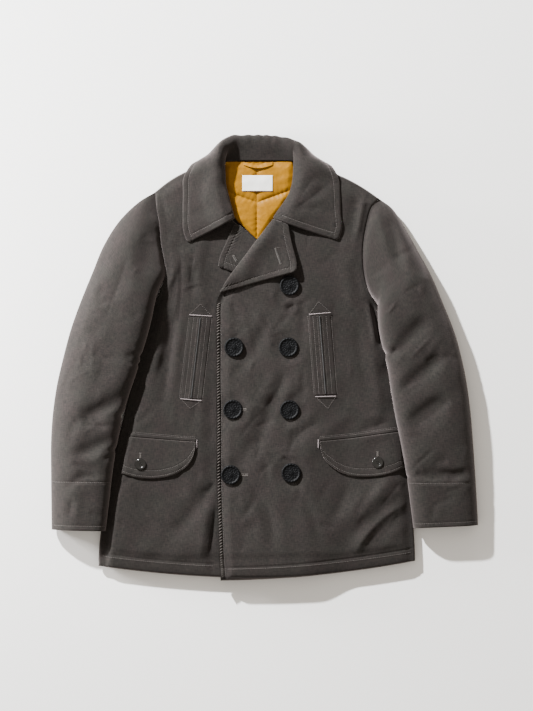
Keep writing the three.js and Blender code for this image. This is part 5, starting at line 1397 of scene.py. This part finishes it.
# %% Buttonholes
def hole_runs(cx, cy, turn, length, top, half=1.5):
    """Overcast stitches standing across the long outline of a buttonhole."""
    runs = []
    ca, sa = math.cos(turn), math.sin(turn)
    for k in np.linspace(-length / 2, length / 2, int(length / 0.75)):
        for side in (-1, 1):
            near = (cx + k * ca - side * 0.35 * sa, cy + k * sa + side * 0.35 * ca)
            far = (cx + k * ca - side * half * 1.35 * sa, cy + k * sa + side * half * 1.35 * ca)
            runs.append(on_surface([near[0], far[0]], [near[1], far[1]], top, 0.15))
    return runs


def lapel_top(lapel):
    face = lapel[0].reshape(-1, 3)

    def height(x, y):
        near = np.argmin((face[None, :, 0] - x[:, None]) ** 2 + (face[None, :, 1] - y[:, None]) ** 2, axis=1)
        return face[near, 2]
    return height


flap_top = {side: (lambda x, y, f=face.reshape(-1, 3): f[np.argmin(
    (f[None, :, 0] - x[:, None]) ** 2 + (f[None, :, 1] - y[:, None]) ** 2, axis=1), 2])
    for side, face in flap_faces.items()}
holes = hole_runs(24, 182, math.radians(-71), 30, lapel_top(lapel_left), 1.0)
holes += hole_runs(-53.5, 178.5, math.radians(-60), 12, lapel_top(lapel_right))
holes += hole_runs(-223.4, -176.5, math.radians(90), 8, flap_top["right"], 0.9)
holes += hole_runs(203.4, -173.6, math.radians(90), 8, flap_top["left"], 0.9)
holes += hole_runs(-38, -210.8, 0.0, 16, left_top)
holes += hole_runs(-38, -93.2, 0.0, 10, left_top)
stitch_piece("buttonholes", holes, thread_and_ridge_highlight, 1.6, 0.42, 0.2, 1.6)


def slit_run(cx, cy, turn, length, top):
    """A black bar down an open slit, between the two rows of its overcasting: painted shade for the slit's depth."""
    k = np.linspace(-length / 2, length / 2, 24)
    return on_surface(cx + k * math.cos(turn), cy + k * math.sin(turn), top, 0.25)


# The black bars along the lapel buttonholes and the pocket slits are painted shade in the openings.
slits = [slit_run(24, 182, math.radians(-71), 27, lapel_top(lapel_left)),
         slit_run(-53.5, 178.5, math.radians(-60), 10, lapel_top(lapel_right))]
for top_x, top_y, foot_x, foot_y, top in welts.values():
    t = np.linspace(0.015, 0.985, 160)
    slits.append(on_surface(lerp(top_x, foot_x, t), lerp(top_y, foot_y, t), top, WELT_THICK + 1.3))
stitch_piece("painted_slit_shade_bars", slits, slit_painted_shade, 2.8, 0.9, 0.1, 2.0)
ticks = [on_surface([22, 27.5], [198, 196.4], lapel_top(lapel_left), 0.4),
         on_surface([-226, -220.8], [-171.6, -171.9], flap_top["right"], 0.3),
         on_surface([200.8, 206], [-168.9, -168.7], flap_top["left"], 0.3)]
stitch_piece("buttonhole_ticks", ticks, topstitch, 2.4, 0.45, 0.2, 2.2)

# %% [markdown]
# ## Cloth facts
# The collar, the lapels and the flat strips are each measured as a sheet cut from cloth, and their sizes and areas
# are printed with whether each is folded or laid. The sizes are those of the cut that shows; the collar is counted
# all round.

# %% Cut sizes of the cloths
def cut_of(face):
    """Width and length (metres) and area (square metres) of a cloth's face, laid out flat."""
    across = np.linalg.norm(np.diff(face, axis=1), axis=-1).sum(1).max()
    down = np.linalg.norm(np.diff(face, axis=0), axis=-1).sum(0).max()
    cells = np.cross(face[1:, 1:] - face[:-1, :-1], face[1:, :-1] - face[:-1, 1:])
    narrow = 10.2  # the narrow strips are cut this wide and have their edges turned in
    return (max(across, narrow) * MM, max(down, narrow) * MM), np.linalg.norm(cells, axis=-1).sum() / 2 * MM * MM


cloths = [("collar_cloth", collar_face, "folded", ["back_cloth", "right_front_cloth", "left_front_cloth"]),
          ("left_lapel_cloth", lapel_left[0], "folded", ["left_front_cloth"]),
          ("right_lapel_cloth", lapel_right[0], "folded", ["right_front_cloth"])]
for name, face in strip_faces.items():
    under = "neck_lining" if "label" in name or "hanger" in name else (
        "left_front_cloth" if "left" in name else "right_front_cloth")
    cloths.append((name, face, "laid", [under]))
for name, face, held, under in cloths:
    flat, area = cut_of(face)
    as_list(under)
    print(name, held, [round(n, 4) for n in flat], "m,", round(area, 5), "m2")
counts = {piece.name: len(piece.data.loops) - 2 * len(piece.data.polygons) for piece in pieces}
print("pieces:", len(counts), "triangles in all:", sum(counts.values()), "most:", max(counts.values()))

# %% [markdown]
# ## Surface, light and camera
# The coat lies on a plain pale floor. One hard lamp from the upper left throws the crisp shadow to
# the lower right, and a pale sky fills it. The camera looks straight down from far above, so every
# layer stays at the scale of the photo: 1.8 mm to a pixel.

# %% Floor, lights and camera
floor_paint, tree, shader = surface("matt_white_floor", {"Roughness": 0.9, "Base Color": linear("#f6f6f5")})
mesh = bpy.data.meshes.new("floor")
mesh.from_pydata([(-6, -6, -0.0003), (6, -6, -0.0003), (6, 6, -0.0003), (-6, 6, -0.0003)], [], [(0, 1, 2, 3)])
floor = bpy.data.objects.new("floor", mesh)
bpy.context.scene.collection.objects.link(floor)
floor.data.materials.append(floor_paint)

lamp = bpy.data.lights.new("key", "POINT")
lamp.energy, lamp.shadow_soft_size, lamp.color = 3150, 0.08, (0.985, 0.995, 1.0)
key = bpy.data.objects.new("key", lamp)
travel = np.array([1.14, -1.52, -1.0])  # the way the light goes: right, down the picture, and down
key.location = tuple(-4.0 * travel / np.linalg.norm(travel))
bpy.context.scene.collection.objects.link(key)
panel = bpy.data.lights.new("side_panel", "AREA")
panel.energy, panel.size, panel.color = 78, 0.35, (1.0, 0.985, 0.97)
side_light = bpy.data.objects.new("side_panel", panel)
side_light.location = (-1.5, 0.25, 0.18)
side_light.rotation_euler = (0, -math.radians(84), math.radians(-8))
bpy.context.scene.collection.objects.link(side_light)
world = bpy.data.worlds.new("sky")
world.use_nodes = True
world.node_tree.nodes["Background"].inputs["Color"].default_value = (1.0, 0.92, 0.82, 1)
world.node_tree.nodes["Background"].inputs["Strength"].default_value = 0.77
bpy.context.scene.world = world

MM_PER_PIXEL, DISTANCE = 1.8, 5.0
lens = bpy.data.cameras.new("camera")
lens.sensor_fit, lens.sensor_height = "VERTICAL", 24
lens.lens = 24 * DISTANCE / (711 * MM_PER_PIXEL * MM)
lens.clip_end = 50
camera = bpy.data.objects.new("camera", lens)
camera.location = (0.0034, 0.0038, DISTANCE + 0.025)
bpy.context.scene.collection.objects.link(camera)
bpy.context.scene.camera = camera
